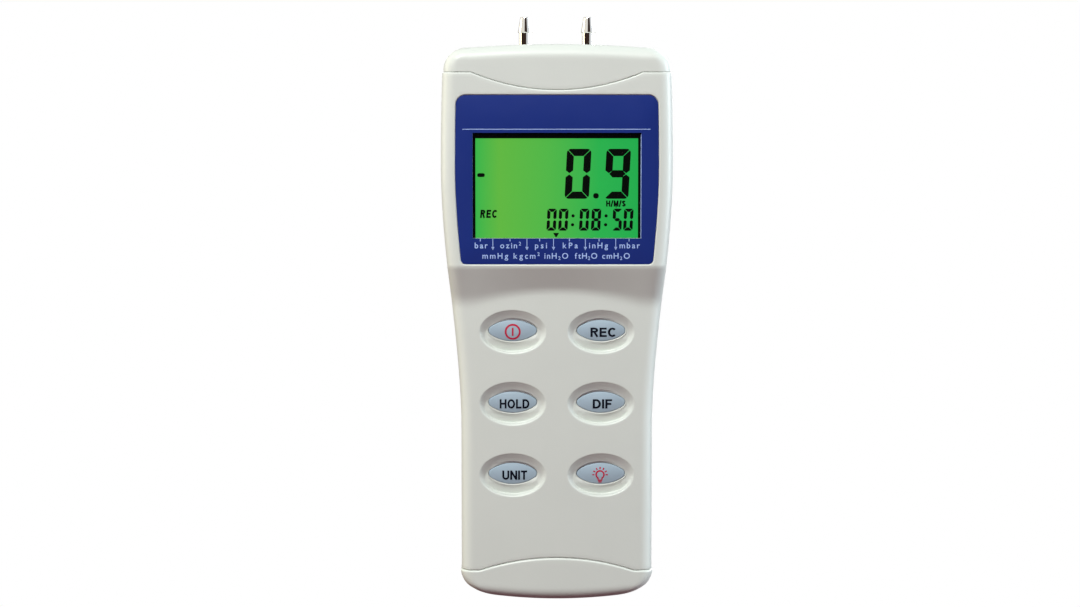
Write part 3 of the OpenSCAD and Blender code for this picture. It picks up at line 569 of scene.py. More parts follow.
SHELL = moulded("shell_plastic", rgb(216, 219, 213), rough=0.42, grain=1400, height=0.012, vary=0.012)
LABEL = moulded("label_blue", rgb(25, 46, 122), rough=0.34, grain=2200, height=0.004, vary=0.03,
                Specular_IOR_Level=0.3)
PRINT = moulded("label_print", rgb(172, 196, 244), rough=0.4, vary=0.02, Specular_IOR_Level=0.3)
KEY = moulded("key_rubber", rgb(163, 181, 195), rough=0.5, grain=1800, height=0.006, vary=0.02)
LEGEND = moulded("legend_ink", rgb(10, 14, 28), rough=0.5, Specular_IOR_Level=0.1)
SYMBOL = moulded("symbol_ink", rgb(190, 34, 66), rough=0.5, Specular_IOR_Level=0.1)
SEGMENT = moulded("segment_black", rgb(6, 12, 6), rough=0.5, Specular_IOR_Level=0.0)
NICKEL = plated("plated_brass", (0.84, 0.82, 0.79, 1), 0.06)
STEEL = plated("screw_steel", (0.62, 0.62, 0.63, 1), 0.3)
BLACK = moulded("black_plastic", rgb(28, 28, 31), rough=0.5)
MAT = moulded("mat_rubber", rgb(138, 142, 146), rough=0.6)
BOARD = moulded("circuit_board", rgb(18, 92, 52), rough=0.35, vary=0.08)
CHIP = moulded("chip_epoxy", rgb(26, 26, 28), rough=0.55)
SENSOR = moulded("sensor_plastic", rgb(226, 225, 216), rough=0.45)
STRIP = moulded("elastomer", rgb(200, 142, 152), rough=0.6)
SEAL = moulded("seal_rubber", rgb(24, 24, 24), rough=0.6)
TUBE = moulded("silicone", rgb(226, 226, 214), rough=0.35)
SLEEVE = moulded("capacitor_sleeve", rgb(32, 40, 92), rough=0.3)
JACKET = moulded("battery_jacket", rgb(48, 49, 56), rough=0.32, vary=0.05, Metallic=0.3)
RED = moulded("red_lead", rgb(180, 26, 22), rough=0.35)
DARK = moulded("black_lead", rgb(18, 18, 19), rough=0.35)
FOAM = moulded("foam", rgb(52, 52, 55), rough=0.95, grain=500, height=0.3)


def clear_window():
    """Clear acrylic: nearly all of what is behind it shows, with a faint gloss."""
    finish = Finish("clear_window", Roughness=0.05, Alpha=0.1, IOR=1.49)
    finish.tint(finish.noise(90), (0.010, 0.012, 0.011, 1), (0.014, 0.016, 0.015, 1))
    return finish.material


def lit_display():
    """Green light through the display: yellower at the left and brighter to the right."""
    finish = Finish("display_glass", Roughness=0.25, Emission_Strength=1.06, Specular_IOR_Level=0.1)
    across = finish.spread(finish.add("SeparateXYZ", {0: finish.where}).outputs["X"], -0.026, 0.026)
    glow = finish.ramp(across, (0.0, rgb(50, 190, 80)), (0.16, rgb(103, 194, 69)), (0.45, rgb(86, 193, 76)),
                       (0.75, rgb(44, 186, 82)), (1.0, rgb(34, 180, 82)))
    finish.link(glow, "Emission Color")
    finish.tint(finish.noise(90), rgb(12, 40, 16), rgb(14, 44, 18))
    return finish.material


def light_guide():
    finish = Finish("light_guide", Roughness=0.35)
    finish.tint(finish.noise(120), rgb(150, 214, 120), rgb(166, 226, 134))
    return finish.material


WINDOW, DISPLAY, GUIDE = clear_window(), lit_display(), light_guide()

# Housing pieces

EDGE_T = np.linspace(0, 1, 9)
SIDE_T = np.linspace(0, 1, 5)
# A side that ends at the parting line, where the shells' edges are broken
PARTED_T = np.array([0, 0.25, 0.5, 0.75, 0.93, 0.965, 1])
PARTING = 0.12
FACE_T = np.linspace(-1, 1, 65)
BACK_T = np.linspace(-1, 1, 49)
KEYS = dict(power=(-1, 0), record=(1, 0), hold=(-1, 1), difference=(1, 1), unit=(-1, 2),
            backlight=(1, 2))
KEY_PITCH_X, KEY_PITCH_Z, KEY_TOP_GAP = 27.3, 22.3, 11.4
KEY_L, KEY_H, KEY_TIP_R, KEY_RISE = 14.8, 6.4, 1.4, 0.4
KEY_CROWN, KEY_ROLL, KEY_PROUD, KEY_FLANGE_Y = 0.5, 0.4, 0.05, -7.1
DISH_L, DISH_H, DISH_DEPTH = 20.0, 12.95, 1.7
DISH_RISE = 0.1
ROW_Z = [SLOPE_Z - KEY_TOP_GAP - i * KEY_PITCH_Z for i in range(3)]
DISH_LIP_Y = -grip_depth(KEY_PITCH_X / 2)
DISH_FLOOR_Y = DISH_LIP_Y + DISH_DEPTH
# Depth of the dish at distances in from its nominal ellipse
DISH_IN = [-1.6, -1.0, -0.35, 0.0, 0.5, 0.95, 1.3, 2.25]
DISH_DOWN = [-1.6, -0.7, -0.06, 0.26, 0.9, 1.38, 1.6, 1.7]
DISH_SOFT = 0.22
# The slope is longer above the key and steeper below it, where the floor falls towards the wall
REACH_UP = [-1, -0.8, -0.5, -0.2, 0.1, 0.5, 1]
REACH = [5.0, 3.8, 1.9, 1.0, 0.66, 0.46, 0.41]
# Below this distance under a dish's centre its floor falls away
FALL_FROM, FALL_SLOPE, FALL_GROWTH, FALL_EASE = 2.4, 0.21, 0.03, 0.8
# The edge of a key's hole, as (growth, depth)
HOLE_RIM, HOLE_EDGE = 0.3, ((0.1, 0.05), (0.03, 0.12), (0, 0.3))
# A key's top fills its outline and has a rounded edge and a flange
KEY_FILL, KEY_EDGE_R, FLANGE_GROW, FLANGE_T = 0.06, 0.24, 0.9, 0.8
CROWN_SHARES = (0.03, 0.15, 0.3, 0.45, 0.6, 0.75, 0.88, 0.96, 1.0)

LABEL_MARGIN, LABEL_TOP_R, LABEL_BOTTOM_R = 4.5, 3.0, 1.5
LABEL_Z0, LABEL_Z1 = HEAD_Z + 0.9, TOP_SEAM["level"] - TOP_SEAM["rise"] - 1.6
LABEL_Y, LABEL_BACK_Y = FACE_Y + 0.2, FACE_Y + 0.5
LABEL_LIP = 0.5
LENS_BACK_Y, LENS_RIM = LABEL_BACK_Y + 1.0, 2.0
WINDOW_H, WINDOW_DROP = 32.3, 11.5
WINDOW_Z = LABEL_Z1 - WINDOW_DROP - WINDOW_H / 2
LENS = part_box("display_lens")
WINDOW_W = (LENS[1][0] - LENS[0][0]) / MM - 2 * LENS_RIM
GLASS_Y = FACE_Y + WALL + SLIDE_GAP
# Edges of the label's recess and of the label, as (growth, depth)
RECESS_EDGE = ((LABEL_LIP, 0.0), (0.34, 0.03), (0.22, 0.1), (0.13, 0.2), (0.1, 0.34),
               (0.1, LABEL_BACK_Y - FACE_Y))
LABEL_EDGE = ((-0.12, 0.0), (-0.04, 0.02), (0.0, 0.1))
# Numbers of rows along the front shell up to each height, and on to its top and back inside
FRONT_ROWS, FRONT_TOP_ROWS, FRONT_INNER_ROWS = ((SLOPE_Z, 70), (HEAD_Z - 1.6, 12), (HEAD_Z + 0.8, 10)), 52, 60


def front_columns(end):
    """From the left side at depth end, across the face, to the right side."""
    return Columns(
        (SIDE, -1, PARTED_T[::-1], NATURAL, end), (FRONT_ARC, -1, EDGE_T[:0:-1]), (FACE, 0, FACE_T),
        (FRONT_ARC, 1, EDGE_T[1:]), (SIDE, 1, PARTED_T, NATURAL, end))


def part_edges(rows):
    """Breaks the outer edges of a shell along the parting line."""
    rows[:, (0, -1), 0] -= PARTING * np.sign(rows[:, (0, -1), 0])


def close_parting(shape, rows):
    """Closes the two edges of a shell on the parting line."""
    for edge in (0, -1):
        shape.fill([outline_xz(rows[:, edge])], flat_at(0.0))


def rear_columns(start, parting=None):
    """From the right side at depth start, across the back, to the left side. On the rear shell
    each side also has a run from the parting line."""
    runs = [(SIDE, 1, SIDE_T, start, NATURAL), (REAR_ARC, 1, EDGE_T[1:], start, NATURAL),
            (BACK, 0, BACK_T[::-1]),
            (REAR_ARC, -1, EDGE_T[:0:-1], start, NATURAL), (SIDE, -1, SIDE_T[::-1], start, NATURAL)]
    if parting is not None:
        runs.insert(0, (SIDE, 1, 1 - PARTED_T[::-1], parting, start))
        runs.append((SIDE, -1, 1 - PARTED_T, parting, start))
    return Columns(*runs)


def outline_xz(*paths):
    """A closed XZ outline from 3D paths."""
    return np.concatenate([p[:, [0, 2]] for p in paths])


def border(flat):
    """The outline of a grid of 2D points."""
    return np.concatenate([flat[0], flat[1:-1, -1], flat[-1, ::-1], flat[-2:0:-1, 0]])


def on_ring(loop, s):
    """An XY outline laid on the bowed ring at height s."""
    return np.column_stack([loop, ring_z(s, loop[:, 0])])


def key_outline(d=0.0, tip_n=8, arc_n=22):
    """The outline of a key, a pointed oval with rounded tips, grown by d."""
    tip_x = KEY_L / 2 - KEY_TIP_R
    arc_r = (KEY_H ** 2 / 4 + tip_x ** 2 - KEY_TIP_R ** 2) / (KEY_H - 2 * KEY_TIP_R)
    drop = arc_r - KEY_H / 2
    turn = math.atan2(drop, tip_x)
    points = []
    for k in range(4):
        is_tip = k % 2 == 0
        n = 2 * (tip_n if is_tip else arc_n)
        first, last = (-turn, turn) if is_tip else (turn, math.pi - turn)
        side = -1 if k >= 2 else 1
        cx, cz, r = (side * tip_x, 0, KEY_TIP_R + d) if is_tip else (0, -side * drop, arc_r + d)
        for i in range(n):
            a = first + (last - first) * i / n + (math.pi if k >= 2 else 0)
            points.append((cx + r * math.cos(a), cz + r * math.sin(a)))
    return np.array(points)


def pchip(x, xs, ys):
    """Smooth curve through points, with no overshoot."""
    xs, ys = np.array(xs), np.array(ys)
    h = np.diff(xs)
    d = np.diff(ys) / h
    both, total = d[:-1] * d[1:], d[:-1] + d[1:]
    middle = np.where(both > 0, 2 * both / np.where(total == 0, 1, total), 0)
    m = np.concatenate([[d[0]], middle, [d[-1]]])
    i = np.clip(np.searchsorted(xs, x) - 1, 0, len(h) - 1)
    t = (x - xs[i]) / h[i]
    return ((1 + 2 * t) * (1 - t) ** 2 * ys[i] + t * (1 - t) ** 2 * h[i] * m[i]
            + t * t * (3 - 2 * t) * ys[i + 1] + t * t * (t - 1) * h[i] * m[i + 1])


def key_centre(name, rise=0.0):
    column, row = KEYS[name]
    return np.array([column * KEY_PITCH_X / 2, ROW_Z[row] + rise])


def bearings(oval):
    return np.arctan2(oval[:, 1] / KEY_H, oval[:, 0] / KEY_L)


def ellipse_like(oval, inset):
    """Ellipse points of a dish, inset from its edge, at the bearings of an oval's points."""
    a = bearings(oval)
    return np.stack([(DISH_L / 2 - inset) * np.cos(a), (DISH_H / 2 - inset) * np.sin(a)], axis=-1)


def face_y(x, z):
    """Depth of the face above a place in XZ."""
    return -face_depth(ring_s(x, z), x)


def dish(shape, name):
    """The well round a key, down to the key's hole; returns its outer loop and the hole."""
    centre, key = key_centre(name, DISH_RISE), key_centre(name, KEY_RISE)
    hole = key_outline(FIT)
    reach = pchip(np.sin(bearings(hole)), REACH_UP, REACH)
    rows = []
    for inset in [DISH_IN[0], *np.linspace(-1.1, DISH_IN[-1], 26)]:
        flat = ellipse_like(hole, inset) + centre
        run = np.minimum(np.where(inset > 0, inset * reach, inset), DISH_IN[-1])
        face = face_y(flat[:, 0], flat[:, 1])
        below = np.maximum(centre[1] - FALL_FROM - flat[:, 1], 0)
        fall = below * (FALL_SLOPE + FALL_GROWTH * below) * smooth(run / FALL_EASE)
        y = soft_max(face, face + pchip(run, DISH_IN, DISH_DOWN) + fall, DISH_SOFT)
        rows.append(np.stack([flat[:, 0], y, flat[:, 1]], axis=-1))
    last, rim = rows[-1], loop_at(key_outline(FIT + HOLE_RIM) + key, DISH_FLOOR_Y)
    rows += [last + (rim - last) * share for share in (0.35, 0.7, 1.0)]
    rows += [loop_at(key_outline(FIT + grow) + key, DISH_FLOOR_Y + down) for grow, down in HOLE_EDGE]
    rows.append(loop_at(hole + key, -GRIP_INNER_D))
    shape.grid(rows, ring=True)
    return rows[0][:, [0, 2]], hole + key


def label_outline(d, step=1.5):
    """The label's outline grown by d, its sides parallel to the sides of the head."""
    def corner(z, r, first):
        cx = side_x(z) - LABEL_MARGIN - r
        turns = np.radians(first + 90 * np.arange(9) / 8)
        return [(cx + (r + d) * math.cos(a), z + (r + d) * math.sin(a)) for a in turns]

    z0, z1 = LABEL_Z0 + LABEL_BOTTOM_R, LABEL_Z1 - LABEL_TOP_R
    side = [(side_x(z) - LABEL_MARGIN + d, z) for z in np.linspace(z0, z1, 30)[1:-1]]
    right = corner(z0, LABEL_BOTTOM_R, -90) + side + corner(z1, LABEL_TOP_R, 0)
    return densify(np.array(right + [(-x, z) for x, z in reversed(right)]), step)


def window_outline(d, step=2.0):
    w, h = WINDOW_W / 2 + d, WINDOW_H / 2 + d
    corners = [(w, WINDOW_Z - h), (w, WINDOW_Z + h), (-w, WINDOW_Z + h), (-w, WINDOW_Z - h)]
    return densify(np.array(corners), step)


def front_shell():
    shape = Shape()
    cols = front_columns(0.0)
    low, high = at_seam(cols, BOTTOM_SEAM, FACE_GAP), at_seam(cols, TOP_SEAM, FACE_GAP)
    outer = [low + SHELL_LIP_R]
    for mark, n in (*FRONT_ROWS, (high - SHELL_LIP_R, FRONT_TOP_ROWS)):
        outer += between(outer[-1], mark, n)
    path = [(s, 0.0, None) for s in outer]
    path += [(s, o, None) for s, o in lip(high, SHELL_LIP_R, -1)[1:]]
    inner = [high] + between(high, low, FRONT_INNER_ROWS)
    first_inner = len(path)
    path += [(s, WALL, inner_depth(s)) for s in inner]
    path += [(s, o, None) for s, o in lip(low, SHELL_LIP_R, 1)[:0:-1]]
    rows = np.array([skin(cols, s, o, depth=d) for s, o, d in path])
    part_edges(rows[:first_inner])
    face = range(cols.face[0], cols.face[-1])
    shape.grid(rows, loop=True, skip=[(range(len(outer) - 1), face),
                                      (range(first_inner, first_inner + len(inner) - 1), face)])
    close_parting(shape, rows)

    def patch(first, count, holes, place, every):
        x = rows[first:first + count, cols.face, 0]
        s = np.array([p[0][cols.face] for p in path[first:first + count]])
        flat = np.stack([x, s], axis=-1)
        holes = [np.stack([h[:, 0], ring_s(h[:, 0], h[:, 1])], axis=-1) for h in holes]
        shape.fill([border(flat)] + holes, place, flat[every:-every:every, every:-every:every].reshape(-1, 2))

    dishes = [dish(shape, name) for name in KEYS]
    patch(0, len(outer), [d[0] for d in dishes] + [label_outline(LABEL_LIP)],
          lambda x, s: np.stack([x, -face_depth(s, x), ring_z(s, x)], axis=-1), 1)
    loops = [label_outline(grow) for grow, _ in RECESS_EDGE]
    shape.grid([loop_at(loop, FACE_Y + down) for loop, (_, down) in zip(loops, RECESS_EDGE)], ring=True)
    pocket, window = window_outline(LENS_RIM + FIT), window_outline(0)
    shape.fill([loops[-1], pocket], flat_at(LABEL_BACK_Y))
    shape.grid([loop_at(pocket, LABEL_BACK_Y), loop_at(pocket, LENS_BACK_Y)], ring=True)
    shape.fill([pocket, window], flat_at(LENS_BACK_Y))
    shape.grid([loop_at(window, LENS_BACK_Y), loop_at(window, -HEAD_INNER_D)], ring=True)
    patch(first_inner, len(inner), [d[1] for d in dishes] + [window],
          lambda x, s: np.stack([x, -inner_depth(s), ring_z(s, x)], axis=-1), 4)
    show("front_shell_moulding", shape, "housing", SHELL, ["front_shell"])


# Case screws, and the rails and ledge that hold the battery door
COUNTERBORE_R, SEAT_Y, BOSS_WALL, SCREW_HOLE_R = 2.55, 6.0, 1.2, 1.4
COUNTERBORE_EDGE = ((0.25, 0.0), (0.08, 0.06), (0.0, 0.25))
RAIL_T, RAIL_X, RAIL_Y1, RAIL_Z0 = 1.0, GRIP_W / 2 - WALL - SLIDE_GAP, DOOR_SEAM_Y + 2.5, 16.5
LEDGE_T, LEDGE_L, LEDGE_HALF = 1.6, 2.5, GRIP_W / 2 - REAR_EDGE_R - 1.0
SNAP_T, LEAD_R, NOTCH_HALF, BAY_WALL = 4.0, 0.7, 2.0, 1.5
# Numbers of rows beside the door, over the back, and inside above and beside the door
DOOR_ROWS, BACK_ROWS, INNER_ROWS, INNER_DOOR_ROWS = 34, 90, 30, 10


def screw_places():
    """Centres of the case screws, two in the head and two in the grip."""
    head_x = side_x(LABEL_Z1) + SIDE_TRIM - REAR_EDGE_R - COUNTERBORE_R
    head_z = TOP_SEAM["level"] - TOP_SEAM["rise"] - LINING_L - SLIDE_GAP - COUNTERBORE_R - BOSS_WALL
    grip_x = GRIP_W / 2 - REAR_EDGE_R - COUNTERBORE_R
    grip_z = (ROW_Z[1] + ROW_Z[2]) / 2
    return [(k * x, z) for x, z in ((head_x, head_z), (grip_x, grip_z)) for k in (-1, 1)]


def rear_shell():
    shape = Shape()
    cols = rear_columns(DOOR_SEAM_Y, parting=0.0)
    low, high = at_seam(cols, BOTTOM_SEAM, SEAM_GAP), at_seam(cols, TOP_SEAM, SEAM_GAP)
    foot = DOOR_L + SEAM_GAP
    outer = [low + SHELL_LIP_R]
    for mark, n in ((foot, DOOR_ROWS), (foot + SHELL_LIP_R, 4), (high - SHELL_LIP_R, BACK_ROWS)):
        outer += between(outer[-1], mark, n)
    path = [(s, 0.0) for s in outer] + lip(high, SHELL_LIP_R, -1)[1:]
    first_inner = len(path)
    foot_inner = first_inner + INNER_ROWS
    inner = [high] + between(high, foot, INNER_ROWS) + between(foot, low, INNER_DOOR_ROWS)
    path += [(s, WALL) for s in inner] + lip(low, SHELL_LIP_R, 1)[:0:-1]
    rows = np.array([skin(cols, s, o) for s, o in path])
    part_edges(rows[:first_inner])
    first, last = len(PARTED_T) - 1, cols.count - len(PARTED_T)
    middle, back = range(first, last), range(cols.back[0], cols.back[-1])
    shape.grid(rows, loop=True, skip=[
        (range(DOOR_ROWS), middle), (range(DOOR_ROWS, len(outer) - 1), back),
        (range(first_inner, foot_inner), back), (range(foot_inner, len(path)), middle)])
    close_parting(shape, rows)
    for edge in (first, last):
        shape.fill([outline_xz(rows[:DOOR_ROWS + 1, edge], rows[foot_inner:, edge])], flat_at(DOOR_SEAM_Y))
    shape.grid([rows[DOOR_ROWS, first:last + 1], rows[foot_inner, first:last + 1]])
    inner_y, boss_r = BACK_Y - WALL, COUNTERBORE_R + BOSS_WALL
    for start, stop, r, y, every in (
            (DOOR_ROWS, len(outer), COUNTERBORE_R + COUNTERBORE_EDGE[0][0], BACK_Y, 2),
            (first_inner, foot_inner + 1, boss_r, inner_y, 4)):
        flat = rows[start:stop, cols.back][:, :, [0, 2]]
        shape.fill([border(flat)] + [circle(x, z, r) for x, z in screw_places()], flat_at(y),
                   flat[3:-3:3, every:-every:every].reshape(-1, 2))
    hole = [(COUNTERBORE_R + grow, BACK_Y - down) for grow, down in COUNTERBORE_EDGE]
    hole += [(COUNTERBORE_R, SEAT_Y), (SCREW_HOLE_R, SEAT_Y), (SCREW_HOLE_R, 0.0), (boss_r, 0.0),
             (boss_r, inner_y)]
    for x, z in screw_places():
        shape.grid([loop_at(circle(x, z, r), y) for r, y in hole], ring=True)
    thing = show("rear_shell_moulding", shape, "housing", SHELL, ["rear_shell"])
    fixed = DOOR_SEAM_Y - SLIDE_GAP
    root, hook = RAIL_T + SLIDE_GAP + FIT, RAIL_Y1 - RAIL_T
    rail = [(0, 0), (root, 0), (root, fixed), (RAIL_T, fixed), (RAIL_T, hook), (2 * RAIL_T, hook),
            (2 * RAIL_T, RAIL_Y1), (0, RAIL_Y1)]
    rails = [Shape().sweep([(k * (RAIL_X - RAIL_T + x), y) for x, y in rail], RAIL_Z0, DOOR_L - 4 * RAIL_T, 2)
             for k in (-1, 1)]
    z0, z1, ledge_y = DOOR_L - LEDGE_L, DOOR_L + LEDGE_L, inner_y - FIT - LEDGE_T
    ledge = Shape().sweep([(ledge_y, z0), (ledge_y, z1), (inner_y + FIT, z1), (inner_y + FIT, foot),
                           (inner_y - FIT, foot), (inner_y - FIT, z0)], -LEDGE_HALF, LEDGE_HALF, 0)
    cell = np.array(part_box("battery")) / MM
    cell_y, bay_z = cell[0][1], cell[1][2] + GRIP_Z + SLIDE_GAP
    notch_x, notch_y = cell[1][0] + FIT + SNAP_T / 2, (cell_y + cell[1][1]) / 2 + LEAD_R + FIT
    x0, x1, top = notch_x - NOTCH_HALF, notch_x + NOTCH_HALF, inner_y - SLIDE_GAP
    w, a = GRIP_W / 2 - WALL + FIT, GRIP_W / 2 - WALL - SLIDE_GAP - SIDE_TRIM
    wall = [(-w, 0), (-a, 0), (-a, cell_y), (x0, cell_y), (x0, notch_y), (x1, notch_y), (x1, cell_y),
            (a, cell_y), (a, 0), (w, 0), (w, fixed), (a, fixed), (a, top), (-a, top), (-a, fixed),
            (-w, fixed)]
    cut(thing, *rails, ledge, Shape().sweep(wall, bay_z, bay_z + BAY_WALL, 2), operation="UNION")


def close_end(shape, loop, s, holes=(), step=2.0):
    """Closes the end of a cap: the ring's own outline filled at ring height s."""
    flat = loop[:, :2]
    spots = [np.arange(low + step / 2, high, step) for low, high in zip(flat.min(axis=0), flat.max(axis=0))]
    inner = np.stack(np.meshgrid(*spots), axis=-1).reshape(-1, 2)
    shape.fill([flat, *holes], lambda x, y: np.stack([x, y, ring_z(s, x)], axis=-1), inner, margin=0.5)


def close_half(shape, rows, trim, outside, inside):
    """Closes half an end at its outer and inner ring heights, and its flat side at depth trim."""
    right, left = (-1, 0) if rows[0, -1, 0] > 0 else (0, -1)
    lines = []
    for row, s in ((0, outside), (-1, inside)):
        x = rows[row, right, 0] * np.linspace(-1, 1, 33)[1:-1]
        line = on_ring(np.column_stack([x, np.full(len(x), trim)]), s)
        close_end(shape, np.concatenate([rows[row], line[::-1] if right else line]), s)
        lines.append(line)
    shape.fill([outline_xz(rows[:, right], lines[1][::-1], rows[::-1, left], lines[0])], flat_at(trim))


def full_columns():
    """All the way round the housing."""
    return Columns(
        (FACE, 0, FACE_T), (FRONT_ARC, 1, EDGE_T[1:]), (SIDE, 1, SIDE_T[1:]), (REAR_ARC, 1, EDGE_T[1:]),
        (BACK, 0, BACK_T[-2::-1]), (REAR_ARC, -1, EDGE_T[-2::-1]), (SIDE, -1, SIDE_T[-2::-1]),
        (FRONT_ARC, -1, EDGE_T[-2:0:-1]))


def end_rows(end, inward, reach, o, n=12):
    """Ring heights that crowd towards a rounded end, from the end in to reach."""
    turns = [math.radians(90 * i / n) for i in range(n + 1)]
    return [end + inward * (o + (reach - o) * (1 - math.cos(a))) for a in turns]


PORT_PITCH, PORT_Y, STEM_R = 19.6, 2.5, 1.95
# The end caps: their inside, the ends' ring heights and reach, the edge at the seam, the depth of
# the room in them and the rows along each side
CAP_INNER = WALL + FIT + LINING_T
TOP_CAP = dict(seam=TOP_SEAM, step=-CAP_STEP, end=BODY_L, inward=-1, reach=CORNER_R, inner_reach=CORNER_R,
               lip_r=TOP_LIP_R, lip_n=4, room=HEAD_INNER_D - FIT, n=6)
BOTTOM_CAP = dict(seam=BOTTOM_SEAM, step=CAP_STEP, end=LOW_END, inward=1, reach=LOW_REACH,
                  inner_reach=LOW_CORNER_R, lip_r=LOW_LIP_R, lip_n=6, room=GRIP_INNER_D - FIT, n=8)


def cap_rows(cols, seam, step, end, inward, reach, inner_reach, lip_r, lip_n, room, n):
    """Rows of an end cap: from its end down the outside, round the seam's edge and back up inside."""
    edge_s, under = (at_seam(cols, seam, gap, step=step) for gap in (0.0, LINING_L))
    ends, inner_ends = end_rows(end, inward, reach, 0), end_rows(end, inward, inner_reach, CAP_INNER)[::-1]
    edge = lip(edge_s, lip_r, -inward, lip_n)
    outside = [(s, 0.0) for s in ends + between(ends[-1], edge[0][0], n)] + edge[1:]
    path = [(s, o, step, None) for s, o in outside]
    path += [(s, WALL + FIT, 0, room) for s in (edge_s, under)]
    inside = [under] + between(under, inner_ends[0], n) + inner_ends[1:]
    path += [(s, CAP_INNER, 0, room - LINING_T) for s in inside]
    return np.array([skin(cols, s, o, out, depth) for s, o, out, depth in path])


def top_end_cap():
    shape = Shape()
    rows = cap_rows(full_columns(), **TOP_CAP)
    shape.grid(rows, ring=True)
    holes = [circle(k * PORT_PITCH / 2, PORT_Y, STEM_R + FIT) for k in (-1, 1)]
    levels = BODY_L, BODY_L - CAP_INNER
    for row, s in zip((0, -1), levels):
        close_end(shape, rows[row], s, holes)
    for hole in holes:
        shape.grid([on_ring(hole, s) for s in levels], ring=True)
    show("top_cap_moulding", shape, "housing", SHELL, ["top_end_cap"])


def bottom_end_cap():
    shape = Shape()
    trim = DOOR_SEAM_Y - SEAM_GAP / 2
    rows = cap_rows(front_columns(trim), **BOTTOM_CAP)
    shape.grid(rows)
    close_half(shape, rows, trim, LOW_END, LOW_END + CAP_INNER)
    show("bottom_cap_moulding", shape, "housing", SHELL, ["bottom_end_cap"])


DOOR_OUTER_ROWS, DOOR_INNER_ROWS = 40, 20
RIBS, RIB_PITCH, RIB_R, RIB_HALF = 5, 2.6, 0.6, 9.0


def battery_door():
    shape = Shape()
    trim = DOOR_SEAM_Y + SEAM_GAP / 2
    ends, inner_ends = end_rows(LOW_END, 1, LOW_CORNER_R, 0), end_rows(LOW_END, 1, LOW_CORNER_R, WALL)[::-1]
    edge = lip(DOOR_L, SHELL_LIP_R, -1)
    path = [(s, 0.0) for s in ends + between(ends[-1], edge[0][0], DOOR_OUTER_ROWS)] + edge[1:]
    path += [(s, WALL) for s in [DOOR_L] + between(DOOR_L, inner_ends[0], DOOR_INNER_ROWS) + inner_ends[1:]]
    cols = rear_columns(trim)
    rows = np.array([skin(cols, s, o) for s, o in path])
    shape.grid(rows)
    close_half(shape, rows, trim, LOW_END, LOW_END + WALL)
    thing = show("battery_door_moulding", shape, "door", SHELL, ["battery_door"])
    width = RAIL_T + 2 * SLIDE_GAP
    x, y, low = RAIL_X - SLIDE_GAP, RAIL_Y1 - RAIL_T - SLIDE_GAP, RAIL_Z0 - SLIDE_GAP
    grooves = [Shape().sweep(box_outline(*sorted((k * x, k * (x + width))), y, y + width), low, DOOR_L + 1, 2)
               for k in (-1, 1)]
    rib_z = [DOOR_L - 2 * LEDGE_L - i * RIB_PITCH for i in range(RIBS)]
    ribs = [Shape().sweep(circle(BACK_Y, z, RIB_R, 24), -RIB_HALF, RIB_HALF, 0) for z in rib_z]
    cut(thing, *grooves, *ribs)


def key_crown(dx, dz):
    """Depth of a key's top at a distance from its middle."""
    crown_r = (KEY_L ** 2 / 4 + KEY_CROWN ** 2) / (2 * KEY_CROWN)
    top = DISH_FLOOR_Y - KEY_PROUD - KEY_CROWN
    return top + crown_r - np.sqrt(crown_r ** 2 - dx ** 2 - dz ** 2) + KEY_ROLL * (2 * dz / KEY_H) ** 2


def key_tops():
    turns = [math.radians(90 * i / 4) for i in range(1, 5)]
    rim, full, flange = (key_outline(grow) for grow in (KEY_FILL - KEY_EDGE_R, KEY_FILL, FLANGE_GROW))
    rows = [(rim * share, key_crown(*(rim * share).T)) for share in CROWN_SHARES]
    base = rows[-1][1]
    rows += [(key_outline(KEY_FILL + KEY_EDGE_R * (math.sin(a) - 1)), base + KEY_EDGE_R * (1 - math.cos(a)))
             for a in turns]
    level = np.full(len(full), KEY_FLANGE_Y)
    rows += [(full, level), (flange, level), (flange, level + FLANGE_T)]
    for name in KEYS:
        x, z = key_centre(name, KEY_RISE)
        shape = Shape()
        shape.tube([np.stack([flat[:, 0] + x, y, flat[:, 1] + z], axis=-1) for flat, y in rows])
        show(f"key_top_{name}", shape, f"{name}_key", KEY, [f"key_{name}"], crease=50)


def label():
    shape = Shape()
    window = window_outline(0, step=1.5)
    outer = [label_outline(grow) for grow, _ in LABEL_EDGE]
    rows = [loop_at(loop, LABEL_Y + down) for loop, (_, down) in zip(outer, LABEL_EDGE)]
    shape.grid(rows + [loop_at(outer[-1], LABEL_BACK_Y)], ring=True)
    shape.fill([outer[0], window], flat_at(LABEL_Y))
    shape.fill([outer[-1], window], flat_at(LABEL_BACK_Y))
    shape.grid([loop_at(window, LABEL_Y), loop_at(window, LABEL_BACK_Y)], ring=True)
    show("label_sheet", shape, "housing", LABEL, ["display_overlay"])


# Ports

PORT_L, BARB_R, TIP_R, BORE_R, BARB_LAND = 8.5, 2.25, 1.5, 0.9, 0.15
CREST_SHARE, FOOT_DROP, PORT_INSIDE, TIP_ROUND, BORE_EDGE = 0.47, 0.25, 6.5, 0.33, 0.12


